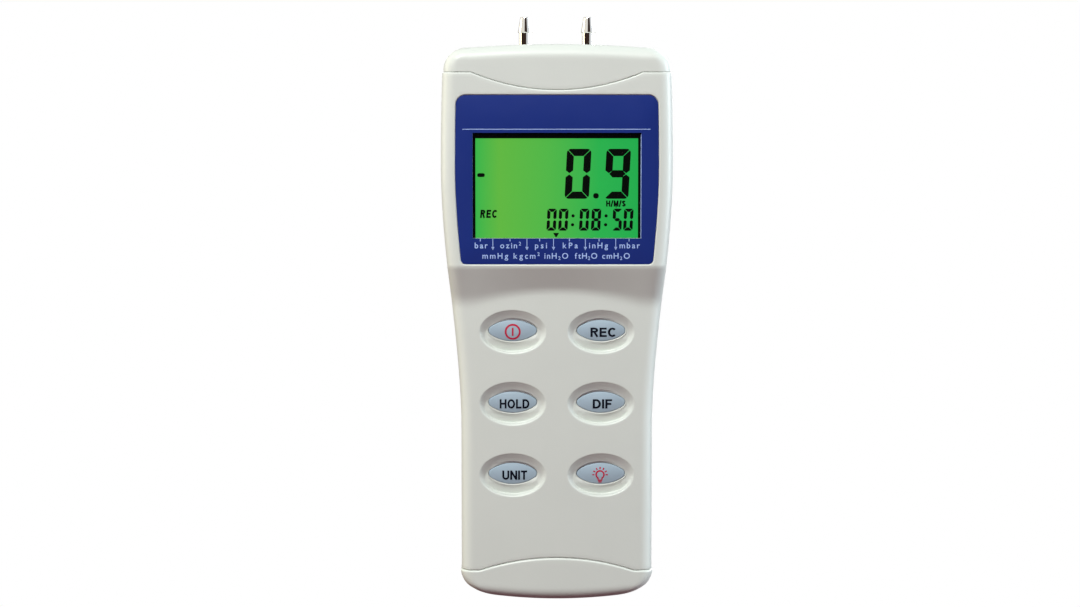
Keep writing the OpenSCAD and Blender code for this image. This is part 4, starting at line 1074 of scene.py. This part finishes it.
def port_barbs():
    base = BODY_L - TOP_BOW * (PORT_PITCH / 2 / BOW_HALF) ** 2
    crest, tip, inside = base + CREST_SHARE * PORT_L, BODY_L + PORT_L, BODY_L - PORT_INSIDE
    foot = crest - FOOT_DROP
    cone = np.array([(BARB_R - 0.02, crest + BARB_LAND), (TIP_R + 0.05, tip - 0.4)])
    profile = [(BORE_R, inside), (STEM_R, inside), (STEM_R, base), (STEM_R, foot),
               (BARB_R - 0.1, foot + 0.03), (BARB_R, crest),
               *(cone[0] + (cone[1] - cone[0]) * share for share in (0, 0.03, 0.5, 0.97, 1))]
    profile += [(TIP_R - 0.3 + TIP_ROUND * math.cos(a), tip - TIP_ROUND + TIP_ROUND * math.sin(a))
                for a in np.radians([10, 30, 50, 70, 90])]
    profile += [(BORE_R + BORE_EDGE, tip), (BORE_R, tip - BORE_EDGE)]
    for side, name in ((-1, "left"), (1, "right")):
        show(f"port_barb_{name}", turned(profile, side * PORT_PITCH / 2, PORT_Y), "housing", NICKEL,
             [f"hose_barb_{name}"], crease=28)


# Display and print

SEGMENTS_OF = {"0": "abcdef", "5": "afgcd", "8": "abcdefg", "9": "abcdfg"}
LEAN = 0.052


def digit(symbol, x, z, w, h, t, r, gap):
    """Outlines of one seven-segment digit whose lower left corner is at x, z."""
    m, k = h / 2, r * (1 - math.sqrt(0.5))
    point, notch = m + gap * 1.4, m + gap + t * 0.4
    arc = [(r - r * math.cos(a), h - r + r * math.sin(a)) for a in np.radians([9, 18, 27, 36])]
    rise = [(r - r * math.cos(a), h - r + r * math.sin(a)) for a in np.radians([54, 63, 72, 81, 90])]
    upright = ([(0, notch), (0, h - r)] + arc + [(k, h - k - gap), (t, h - t - gap), (t, notch),
                                                 (t * 0.5, point)])
    level = [(k + gap, h - k)] + rise
    level = level + [(w - x0, z0) for x0, z0 in reversed(level)] + [(w - t - gap, h - t), (t + gap, h - t)]
    bar = [(t * 0.5 + gap, m), (t + gap * 0.5, m + t / 2), (w - t - gap * 0.5, m + t / 2),
           (w - t * 0.5 - gap, m), (w - t - gap * 0.5, m - t / 2), (t + gap * 0.5, m - t / 2)]
    shapes = dict(a=level, f=upright, g=bar)
    shapes["b"] = [(w - x0, z0) for x0, z0 in upright]
    for upper, lower in ("ad", "fe", "bc"):
        shapes[lower] = [(x0, h - z0) for x0, z0 in shapes[upper]]
    return [[(x + x0 + z0 * LEAN, z + z0) for x0, z0 in shapes[name]] for name in SEGMENTS_OF[symbol]]


def blob(x, z, rx, rz, n=16, power=2.0):
    """A round or softly squared dot."""
    def soft(v):
        return math.copysign(abs(v) ** (2 / power), v)
    return [(x + rx * soft(c), z + rz * soft(s)) for c, s in circle(0, 0, 1, n)]


def plate(name, polygons, y0, y1, material):
    """Closed plates with the given XZ outlines, from y0 to y1."""
    shape = Shape()
    for polygon in polygons:
        shape.sweep(polygon, y0, y1)
    show(name, shape, "housing", material)


BIG = dict(w=7.5, h=15.3, t=2.2, r=1.3, gap=0.14)
SMALL = dict(w=2.9, h=6.75, t=0.98, r=0.7, gap=0.1)
# Digits of the reading and the clock at x, their dots, and the small pointer
READING_Z, READING = 126.25, (("0", 2.3), ("9", 14.4))
CLOCK_Z, CLOCK = 116.45, tuple(zip("000850", (-3.25, 0.35, 6.75, 10.4, 16.9, 20.3)))
CLOCK_DOTS = ((4.95, 121.0), (4.8, 118.26), (15.1, 121.0), (14.95, 118.26))
POINTER = [(-1.15, 115.75), (0.65, 115.75), (-0.05, 114.5), (-0.45, 114.5)]
SEGMENT_Y = GLASS_Y - 0.1


def display_digits():
    reading = [outline for symbol, x in READING for outline in digit(symbol, x, READING_Z, **BIG)]
    reading += [blob(11.97, 127.15, 0.86, 0.84, power=2.4), blob(-23.3, 133.5, 1.15, 0.6, power=3.5, n=24)]
    clock = [outline for symbol, x in CLOCK for outline in digit(symbol, x, CLOCK_Z, **SMALL)]
    clock += [blob(x, z, 0.5, 0.5) for x, z in CLOCK_DOTS]
    for name, outlines in (("reading", reading), ("clock", clock), ("pointer", [POINTER])):
        plate(f"display_{name}", outlines, SEGMENT_Y, GLASS_Y, SEGMENT)


LETTERS = {}
LETTER_CAP = 0.7


def letter(character):
    """Points and faces of one letter, with its foot at zero."""
    if character not in LETTERS:
        curve = bpy.data.curves.new("letter", "FONT")
        curve.body, curve.align_y = character, "BOTTOM_BASELINE"
        curve.size, curve.offset, curve.extrude, curve.resolution_u = 1.0, 0.01, 0.01, 4
        thing = put("letter", curve)
        data = final_mesh(thing)
        spots = np.array([tuple(v.co) for v in data.vertices])
        LETTERS[character] = spots, [tuple(face.vertices) for face in data.polygons]
        bpy.data.objects.remove(thing)
        bpy.data.curves.remove(curve)
        bpy.data.meshes.remove(data)
    return LETTERS[character]


# How far printed marks stand out of a surface and reach into it
MARK_RISE, MARK_SINK = 0.03, 0.02
UNIT_CAP, SMALL_SIZE, SMALL_FOOT = 1.75, 0.62, {"^": 0.5, "_": -0.22}


def lettering(name, text, x, z, width):
    """A unit's name printed on the label, centred on x with its foot at z, spaced to fill the width.

    A letter after ^ is raised and small, and one after _ is lowered and small."""
    runs, mark = [], ""
    for character in text:
        if character in SMALL_FOOT:
            mark = character
            continue
        size = UNIT_CAP / LETTER_CAP * (SMALL_SIZE if mark else 1)
        runs.append((character, size, SMALL_FOOT.get(mark, 0) * UNIT_CAP))
        mark = ""
    spans = [np.ptp(letter(c)[0][:, 0]) * size for c, size, _ in runs]
    gap = (width - sum(spans)) / (len(runs) - 1)
    shape, left = Shape(), x - width / 2
    for (character, size, foot), wide in zip(runs, spans):
        spots, faces = letter(character)
        px = left + (spots[:, 0] - spots[:, 0].min()) * size
        py = LABEL_Y - np.where(spots[:, 2] > 0, MARK_RISE, 0)
        first = shape.add(np.stack([px, py, z + foot + spots[:, 1] * size], axis=-1))
        shape.faces += [tuple(first + i for i in face) for face in faces]
        left += wide + gap
    show(name, shape, "housing", PRINT)


def arc(cx, cz, rx, rz, first, last, n=14):
    turns = np.radians(np.linspace(first, last, n))
    return [(cx + rx * math.cos(a), cz + rz * math.sin(a)) for a in turns]


def glyphs(w):
    """Plain capitals one unit high, as (width, strokes) with strokes w wide."""
    e, f = w / 2, 1 - w / 2

    def upright(x):
        return [(x, 0), (x, 1)]

    def level(z, x0, x1):
        return [(x0, z), (x1, z)]

    stem = upright(e)
    bowl = level(f, e, 0.34) + arc(0.34, 0.73, 0.36 - e, 0.27 - e, 90, -90) + [(e, 0.46 + e)]
    return {
        "C": (0.76, [arc(0.4, 0.5, 0.4 - e, 0.5 - e, 42, 318, 24)]),
        "D": (0.74, [stem, level(f, e, 0.32) + arc(0.32, 0.5, 0.42 - e, 0.5 - e, 90, -90) + [(e, e)]]),
        "E": (0.66, [stem, level(f, e, 0.65), level(0.52, e, 0.6), level(e, e, 0.66)]),
        "F": (0.62, [stem, level(f, e, 0.62), level(0.5, e, 0.55)]),
        "H": (0.74, [stem, upright(0.74 - e), level(0.52, e, 0.74 - e)]),
        "I": (w, [stem]),
        "L": (0.6, [stem, level(e, e, 0.6)]),
        "M": (0.86, [stem, upright(0.86 - e), [(e, 1), (0.43, 0.12), (0.86 - e, 1)]]),
        "N": (0.74, [stem, upright(0.74 - e), [(e * 1.1, 0.93), (0.74 - e * 1.1, 0.07)]]),
        "O": (0.82, [arc(0.41, 0.5, 0.41 - e, 0.5 - e, a, a + 180, 24) for a in (0, 180)]),
        "R": (0.72, [stem, bowl, [(0.38, 0.5), (0.72 - e * 0.9, 0)]]),
        "S": (0.68, [arc(0.34, 0.735, 0.33 - e, 0.265 - e, 15, 262)
                     + arc(0.34, 0.265, 0.34 - e, 0.265 - e, 82, -165)]),
        "T": (0.66, [upright(0.33), level(f, 0, 0.66)]),
        "U": (0.74, [[(e, 1), (e, 0.37)] + arc(0.37, 0.37, 0.37 - e, 0.37 - e, 180, 360) + [(0.74 - e, 1)]]),
        "/": (0.34, [[(0.02, -0.04), (0.32, 1.04)]]),
    }


def stroke(path, w):
    """The outline of a stroke w wide along a path."""
    path = np.array(path, float)
    steps = np.diff(path, axis=0)
    length = np.linalg.norm(steps, axis=1)
    path = path[np.concatenate([[True], length > 1e-6])]
    steps = steps[length > 1e-6] / length[length > 1e-6, None]
    normals = np.stack([-steps[:, 1], steps[:, 0]], axis=-1)
    corner = np.concatenate([normals[:1], normals[:-1] + normals[1:], normals[-1:]])
    size = (corner ** 2).sum(axis=1)
    size[1:-1] /= 2
    side = corner / size[:, None] * w / 2
    return np.concatenate([path + side, (path - side)[::-1]])


def words(text, x, z, cap, width, weight, space=0.17, lean=0.0):
    """Outlines of capitals centred on x, with their foot at z, stretched to the width."""
    table = glyphs(weight)
    total = sum(table[c][0] for c in text) + space * (len(text) - 1)
    k, out, at = width / total, [], 0.0
    for c in text:
        for path in table[c][1]:
            outline = stroke(path, weight)
            px = (outline[:, 0] + at - total / 2) * k
            pz = outline[:, 1] * cap
            out.append(np.stack([x + px + pz * lean, z + pz], axis=-1))
        at += table[c][0] + space
    return out


# Words on the keys: width, and their place from the middle of the key
LEGENDS = dict(record=("REC", 8.0, 0.75), hold=("HOLD", 9.2, 0.55), difference=("DIF", 6.0, 0.5),
               unit=("UNIT", 7.7, 0.6))
LEGEND_CAP, LEGEND_DROP, LEGEND_WEIGHT, LEGEND_SPACE = 2.9, 0.5, 0.2, 0.1


def on_key(name, polygons, key, material):
    """Flat marks laid on the crown of a key."""
    cx, cz = key_centre(key, KEY_RISE)

    def place(up):
        return lambda x, z: np.stack([x, key_crown(x - cx, z - cz) - up, z], axis=-1)

    shape, places = Shape(), (place(MARK_RISE), place(-MARK_SINK))
    for polygon in polygons:
        polygon = densify(np.array(polygon, float), 0.4)
        shape.grid([there(*polygon.T) for there in places], ring=True)
        for there in places:
            shape.fill([polygon], there)
    show(name, shape, f"{key}_key", material)


def key_legends():
    for key, (text, width, shift) in LEGENDS.items():
        x, z = key_centre(key, KEY_RISE - LEGEND_DROP - LEGEND_CAP / 2)
        outlines = words(text, x + shift, z, LEGEND_CAP, width, LEGEND_WEIGHT, LEGEND_SPACE)
        on_key(f"legend_{key}", outlines, key, LEGEND)


def ring_outline(x, z, r0, r1, a0, a1, n=40):
    return arc(x, z, r1, r1, a0, a1, n) + arc(x, z, r0, r0, a0, a1, n)[::-1]


# The power symbol's ring and bar; the lamp's bulb, its parts as boxes, and its rays
POWER_DROP, POWER_R0, POWER_R1, POWER_BAR = 0.35, 1.9, 2.47, (-0.27, 0.27, -1.25, 1.25)
LAMP_SHIFT, LAMP_DROP, BULB_RISE, BULB_R0, BULB_R1, BULB_GAP = -0.2, 0.75, 0.4, 0.98, 1.45, (-62, 242)
LAMP_PARTS = ((-0.68, 0.68, -1.55, -1.14), (-0.5, 0.5, -2.08, -1.68), (-0.82, -0.4, -1.12, -0.55),
              (0.4, 0.82, -1.12, -0.55))
RAY_NEAR, RAY_FAR, RAY_HALF, RAY_STEP = 1.72, 2.42, 0.19, 30


def key_symbols():
    def boxes(*places):
        return [box_outline(x + x0, x + x1, z + z0, z + z1) for x0, x1, z0, z1 in places]

    x, z = key_centre("power", KEY_RISE - POWER_DROP)
    marks = [ring_outline(x, z, POWER_R0, POWER_R1, a, a + 180) for a in (0, 180)]
    on_key("symbol_power", marks + boxes(POWER_BAR), "power", SYMBOL)
    x, z = key_centre("backlight", KEY_RISE - LAMP_DROP) + np.array([LAMP_SHIFT, 0])
    bulb_z = z + BULB_RISE
    marks = [ring_outline(x, bulb_z, BULB_R0, BULB_R1, *BULB_GAP)] + boxes(*LAMP_PARTS)
    for a in range(0, 181, RAY_STEP):
        c, d = math.cos(math.radians(a)), math.sin(math.radians(a))
        marks.append([(x + r * c - k * RAY_HALF * d, bulb_z + r * d + k * RAY_HALF * c)
                      for r, k in ((RAY_NEAR, 1), (RAY_NEAR, -1), (RAY_FAR, -1), (RAY_FAR, 1))])
    on_key("symbol_lamp", marks, "backlight", SYMBOL)


# Unit names, with the middle and the width of each
UNITS_UPPER = (("bar", -23.2, 4.0), ("ozin^2", -14.2, 6.4), ("psi", -4.9, 3.7), ("kPa", 4.1, 4.65),
               ("inHg", 12.75, 5.8), ("mbar", 22.3, 6.25))
UNITS_LOWER = (("mmHg", -18.9, 7.9), ("kgcm^2", -9.3, 8.0), ("inH_2O", -0.2, 7.3), ("ftH_2O", 8.9, 6.9),
               ("cmH_2O", 18.1, 8.5))
UPPER_Z, LOWER_Z = 111.2, 108.0
SHORT_TICKS = (-23.5, -14.4, -5.3, 3.8, 12.9, 22.1)
LONG_TICKS = (-19.65, -9.2, -1.05, 8.7, 18.0)


# The rule over the window, and the ticks and arrows under it: half widths and heights
RULE = (-28.9, 28.5, 147.5, 147.7)
SHORT_TICK, LONG_TICK, ARROW = (0.12, 113.3, 114.1), (0.1, 111.1, 114.1), (0.5, 111.6, 110.6)


def label_print():
    front = LABEL_Y - 0.02
    plate("print_rule", [box_outline(*RULE)], front, LABEL_Y, PRINT)
    for line, z, units in (("upper", UPPER_Z, UNITS_UPPER), ("lower", LOWER_Z, UNITS_LOWER)):
        for i, (text, x, width) in enumerate(units):
            lettering(f"unit_{line}_{i}", text, x, z, width)
    ticks = []
    for places, (half, low, high) in ((SHORT_TICKS, SHORT_TICK), (LONG_TICKS, LONG_TICK)):
        ticks += [box_outline(x - half, x + half, low, high) for x in places]
    half, base, point = ARROW
    ticks += [[(x - half, base), (x + half, base), (x, point)] for x in LONG_TICKS]
    plate("print_ticks", ticks, front, LABEL_Y, PRINT)


def display_words():
    marks = words("REC", -21.0, 120.35, 2.5, 5.2, weight=0.24, lean=0.08)
    marks += words("H/M/S", 18.1, 123.85, 1.85, 6.0, weight=0.25, space=0.14)
    plate("display_marks", marks, SEGMENT_Y, GLASS_Y, SEGMENT)


# Painted shade inside the window: its reach past the window, and its width at the top, left and right
SHADOW_REACH, SHADOW_TOP, SHADOW_LEFT, SHADOW_RIGHT = 0.6, 1.75, 0.8, 0.95


def painted_window_shadow():
    """Painted shadow: black strips on the display, seen along the top and the sides of the window, where the
    window's recess shades it.
    """
    half, middle = WINDOW_W / 2, WINDOW_H / 2
    w, top, low = half + SHADOW_REACH, WINDOW_Z + middle, WINDOW_Z - middle - SHADOW_REACH
    strips = [box_outline(-w, w, top - SHADOW_TOP, top + SHADOW_REACH),
              box_outline(-w, SHADOW_LEFT - half, low, top - SHADOW_TOP),
              box_outline(half - SHADOW_RIGHT, w, low, top - SHADOW_TOP)]
    # A black plate that paints the window's inner shadow onto the display
    plate("painted_window_shadow", strips, GLASS_Y - 0.14, GLASS_Y, SEGMENT)


def painted_window_highlight():
    """Painted highlight: a light strip along the right edge of the window's opening, where that edge catches
    the light.
    """
    x, low = WINDOW_W / 2, WINDOW_Z - WINDOW_H / 2
    strip = box_outline(x - 0.2, x - 0.02, low + 0.1, low + WINDOW_H - 0.5)
    # A light print-coloured plate that paints the edge's highlight
    plate("painted_window_highlight", [strip], LABEL_Y + 0.02, LABEL_Y + 0.25, PRINT)


# Inner pieces that keep their own shape

DRESS = dict(
    display_lens=WINDOW, lcd_frame=BLACK, lcd_glass=DISPLAY, backlight_panel=GUIDE, elastomer_strips=STRIP,
    keypad_mat=MAT, main_board=BOARD, controller_chip=CHIP, amplifier_chip=CHIP, crystal_can=STEEL,
    capacitors=SLEEVE, pressure_sensor=SENSOR, port_seals=SEAL, port_clamp=STEEL, clamp_screws=STEEL,
    sensor_tube_left=TUBE, sensor_tube_right=TUBE, battery=JACKET, battery_snap=BLACK, lead_red=RED,
    lead_black=DARK, battery_foam=FOAM, case_screws=STEEL, board_screws=STEEL)


def dress_nodes():
    for name, material in DRESS.items():
        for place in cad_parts[name].material_slots:
            place.material = material


# Studio

WHITE = (1.0, 1.0, 1.0, 1.0)
FLOOR_Z, FLOOR_HALF, FLOOR_TINT = -32.0, 3.0, (0.09, 0.025, 0.036, 1)
# Light from the room by height, from below to above
ROOM = ((0.0, (0.15, 0.09, 0.10, 1)), (0.42, (0.27, 0.20, 0.22, 1)), (0.52, (0.38, 0.345, 0.36, 1)),
        (0.68, (0.27, 0.29, 0.285, 1)), (1.0, (0.06, 0.08, 0.08, 1)))
FRONT_SHADE = 0.3
# Dark parts of the room in reflections: azimuth from the front, elevation and spread, in degrees
DARK_LOW = (-36, 0, 56)
DARK_HIGH = (12, 20, 23)
DARK_BACK = (180, 5, 28)
BACK_SHADE = 0.6
DARK_LEVEL = 0.13
DARK_TINT = (0.040, 0.024, 0.019, 1)
MIRROR_LEFT, MIRROR_RIGHT = (0.90, 0.86, 0.77, 1), (0.84, 0.90, 0.97, 1)


# Lamps: place, size, power and colour
LAMPS = dict(
    key_light=((-0.36, -0.91, 1.02), 0.5, 21.5, (0.965, 1.0, 0.985)),
    left_light=((-1.2, 0.08, 0.22), 0.6, 5.3, (1.0, 0.94, 0.70)),
    right_light=((1.2, 0.05, 0.22), 0.6, 14, (0.82, 0.94, 1.0)),
    back_light=((0.5, 1.2, 0.4), 0.7, 5, (1.0, 1.0, 0.97)))
LAMP_AIM = Vector((0, 0, 0.04))
CAMERA_AIM, CAMERA_DISTANCE, CAMERA_ELEVATION = Vector((-0.0052, 0.0, 0.0409)), 0.83, math.radians(5)
CAMERA_LENS = 88.5


def studio():
    """A plain white room to look at. It lights the object from above and the sides, and the
    side where the photographer stands is dark in reflections."""
    world = bpy.data.worlds.new("studio")
    bpy.context.scene.world = world
    room = Tree(world)
    room.tree.nodes.clear()
    where = room.add("TexCoord").outputs["Generated"]
    x, y, z = room.add("SeparateXYZ", {0: where}).outputs

    def fade(source, low, high, start=0.0, end=1.0):
        return room.spread(source, low, high, start, end, "SMOOTHSTEP")

    def disc(azimuth, elevation, half):
        """1 within half degrees of a direction."""
        a, e = math.radians(azimuth), math.radians(elevation)
        aim = math.sin(a) * math.cos(e), -math.cos(a) * math.cos(e), math.sin(e)
        toward = room.add("VectorMath", {0: where, 1: aim}, operation="DOT_PRODUCT").outputs["Value"]
        edge = math.cos(math.radians(half))
        return fade(toward, edge - 0.02, edge + 0.04)

    def glow(colour, strength=1.0):
        return room.add("Background", dict(Color=colour, Strength=strength)).outputs[0]

    sky = glow(room.ramp(room.spread(z, -1.0), *ROOM), fade(y, -1.0, 0.2, FRONT_SHADE))
    low = room.combine("MULTIPLY", disc(*DARK_LOW), fade(z, DARK_LEVEL - 0.03, DARK_LEVEL + 0.03, 1, 0))
    back = room.combine("MULTIPLY", disc(*DARK_BACK), BACK_SHADE)
    dark = room.combine("MAXIMUM", room.combine("MAXIMUM", low, disc(*DARK_HIGH)), back)
    bright = room.ramp(room.spread(x, -1.0), (0.0, MIRROR_LEFT), (1.0, MIRROR_RIGHT))
    mirror = room.add("Mix", {0: dark, 6: bright, 7: DARK_TINT}, data_type="RGBA").outputs[2]
    shine = room.mix(room.add("LightPath").outputs["Is Glossy Ray"], sky, glow(mirror))
    room.add("OutputWorld", dict(Surface=room.mix(room.seen_directly(), shine, glow(WHITE))))


def floor():
    finish = Finish("floor", Roughness=0.9, Base_Color=FLOOR_TINT)
    glow = finish.add("Emission", dict(Color=WHITE)).outputs[0]
    surface = finish.mix(finish.seen_directly(), finish.shader.outputs[0], glow)
    finish.tree.links.new(surface, finish.tree.nodes["Material Output"].inputs["Surface"])
    data = bpy.data.meshes.new("floor")
    level, half = (FLOOR_Z - GRIP_Z) * MM, FLOOR_HALF
    corners = [(x, y, level) for x, y in box_outline(-half, half, -half, half)]
    data.from_pydata(corners, [], [(0, 1, 2, 3)])
    data.materials.append(finish.material)
    thing = put("floor", data)


def aimed(thing, place, direction):
    thing.location = place
    thing.rotation_euler = direction.to_track_quat("-Z", "Y").to_euler()


def lamps():
    for name, (place, size, power, colour) in LAMPS.items():
        light = bpy.data.lights.new(name, "AREA")
        light.shape, light.size, light.energy, light.color = "DISK", size, power, colour
        aimed(put(name, light), place, LAMP_AIM - Vector(place))


def camera():
    """The photograph's view: a little above the object, level with its head."""
    data = bpy.data.cameras.new("camera")
    data.sensor_width, data.lens = 36.0, CAMERA_LENS
    data.clip_start, data.clip_end = 0.05, 20
    thing = put("camera", data)
    back = Vector((0, -math.cos(CAMERA_ELEVATION), math.sin(CAMERA_ELEVATION)))
    aimed(thing, CAMERA_AIM + back * CAMERA_DISTANCE, -back)
    bpy.context.scene.camera = thing


bpy.context.scene.view_settings.view_transform = "Standard"
camera()
studio()
floor()
lamps()
dress_nodes()
front_shell()
rear_shell()
top_end_cap()
bottom_end_cap()
battery_door()
key_tops()
label()
port_barbs()
display_digits()
display_words()
painted_window_shadow()
painted_window_highlight()
label_print()
key_legends()
key_symbols()
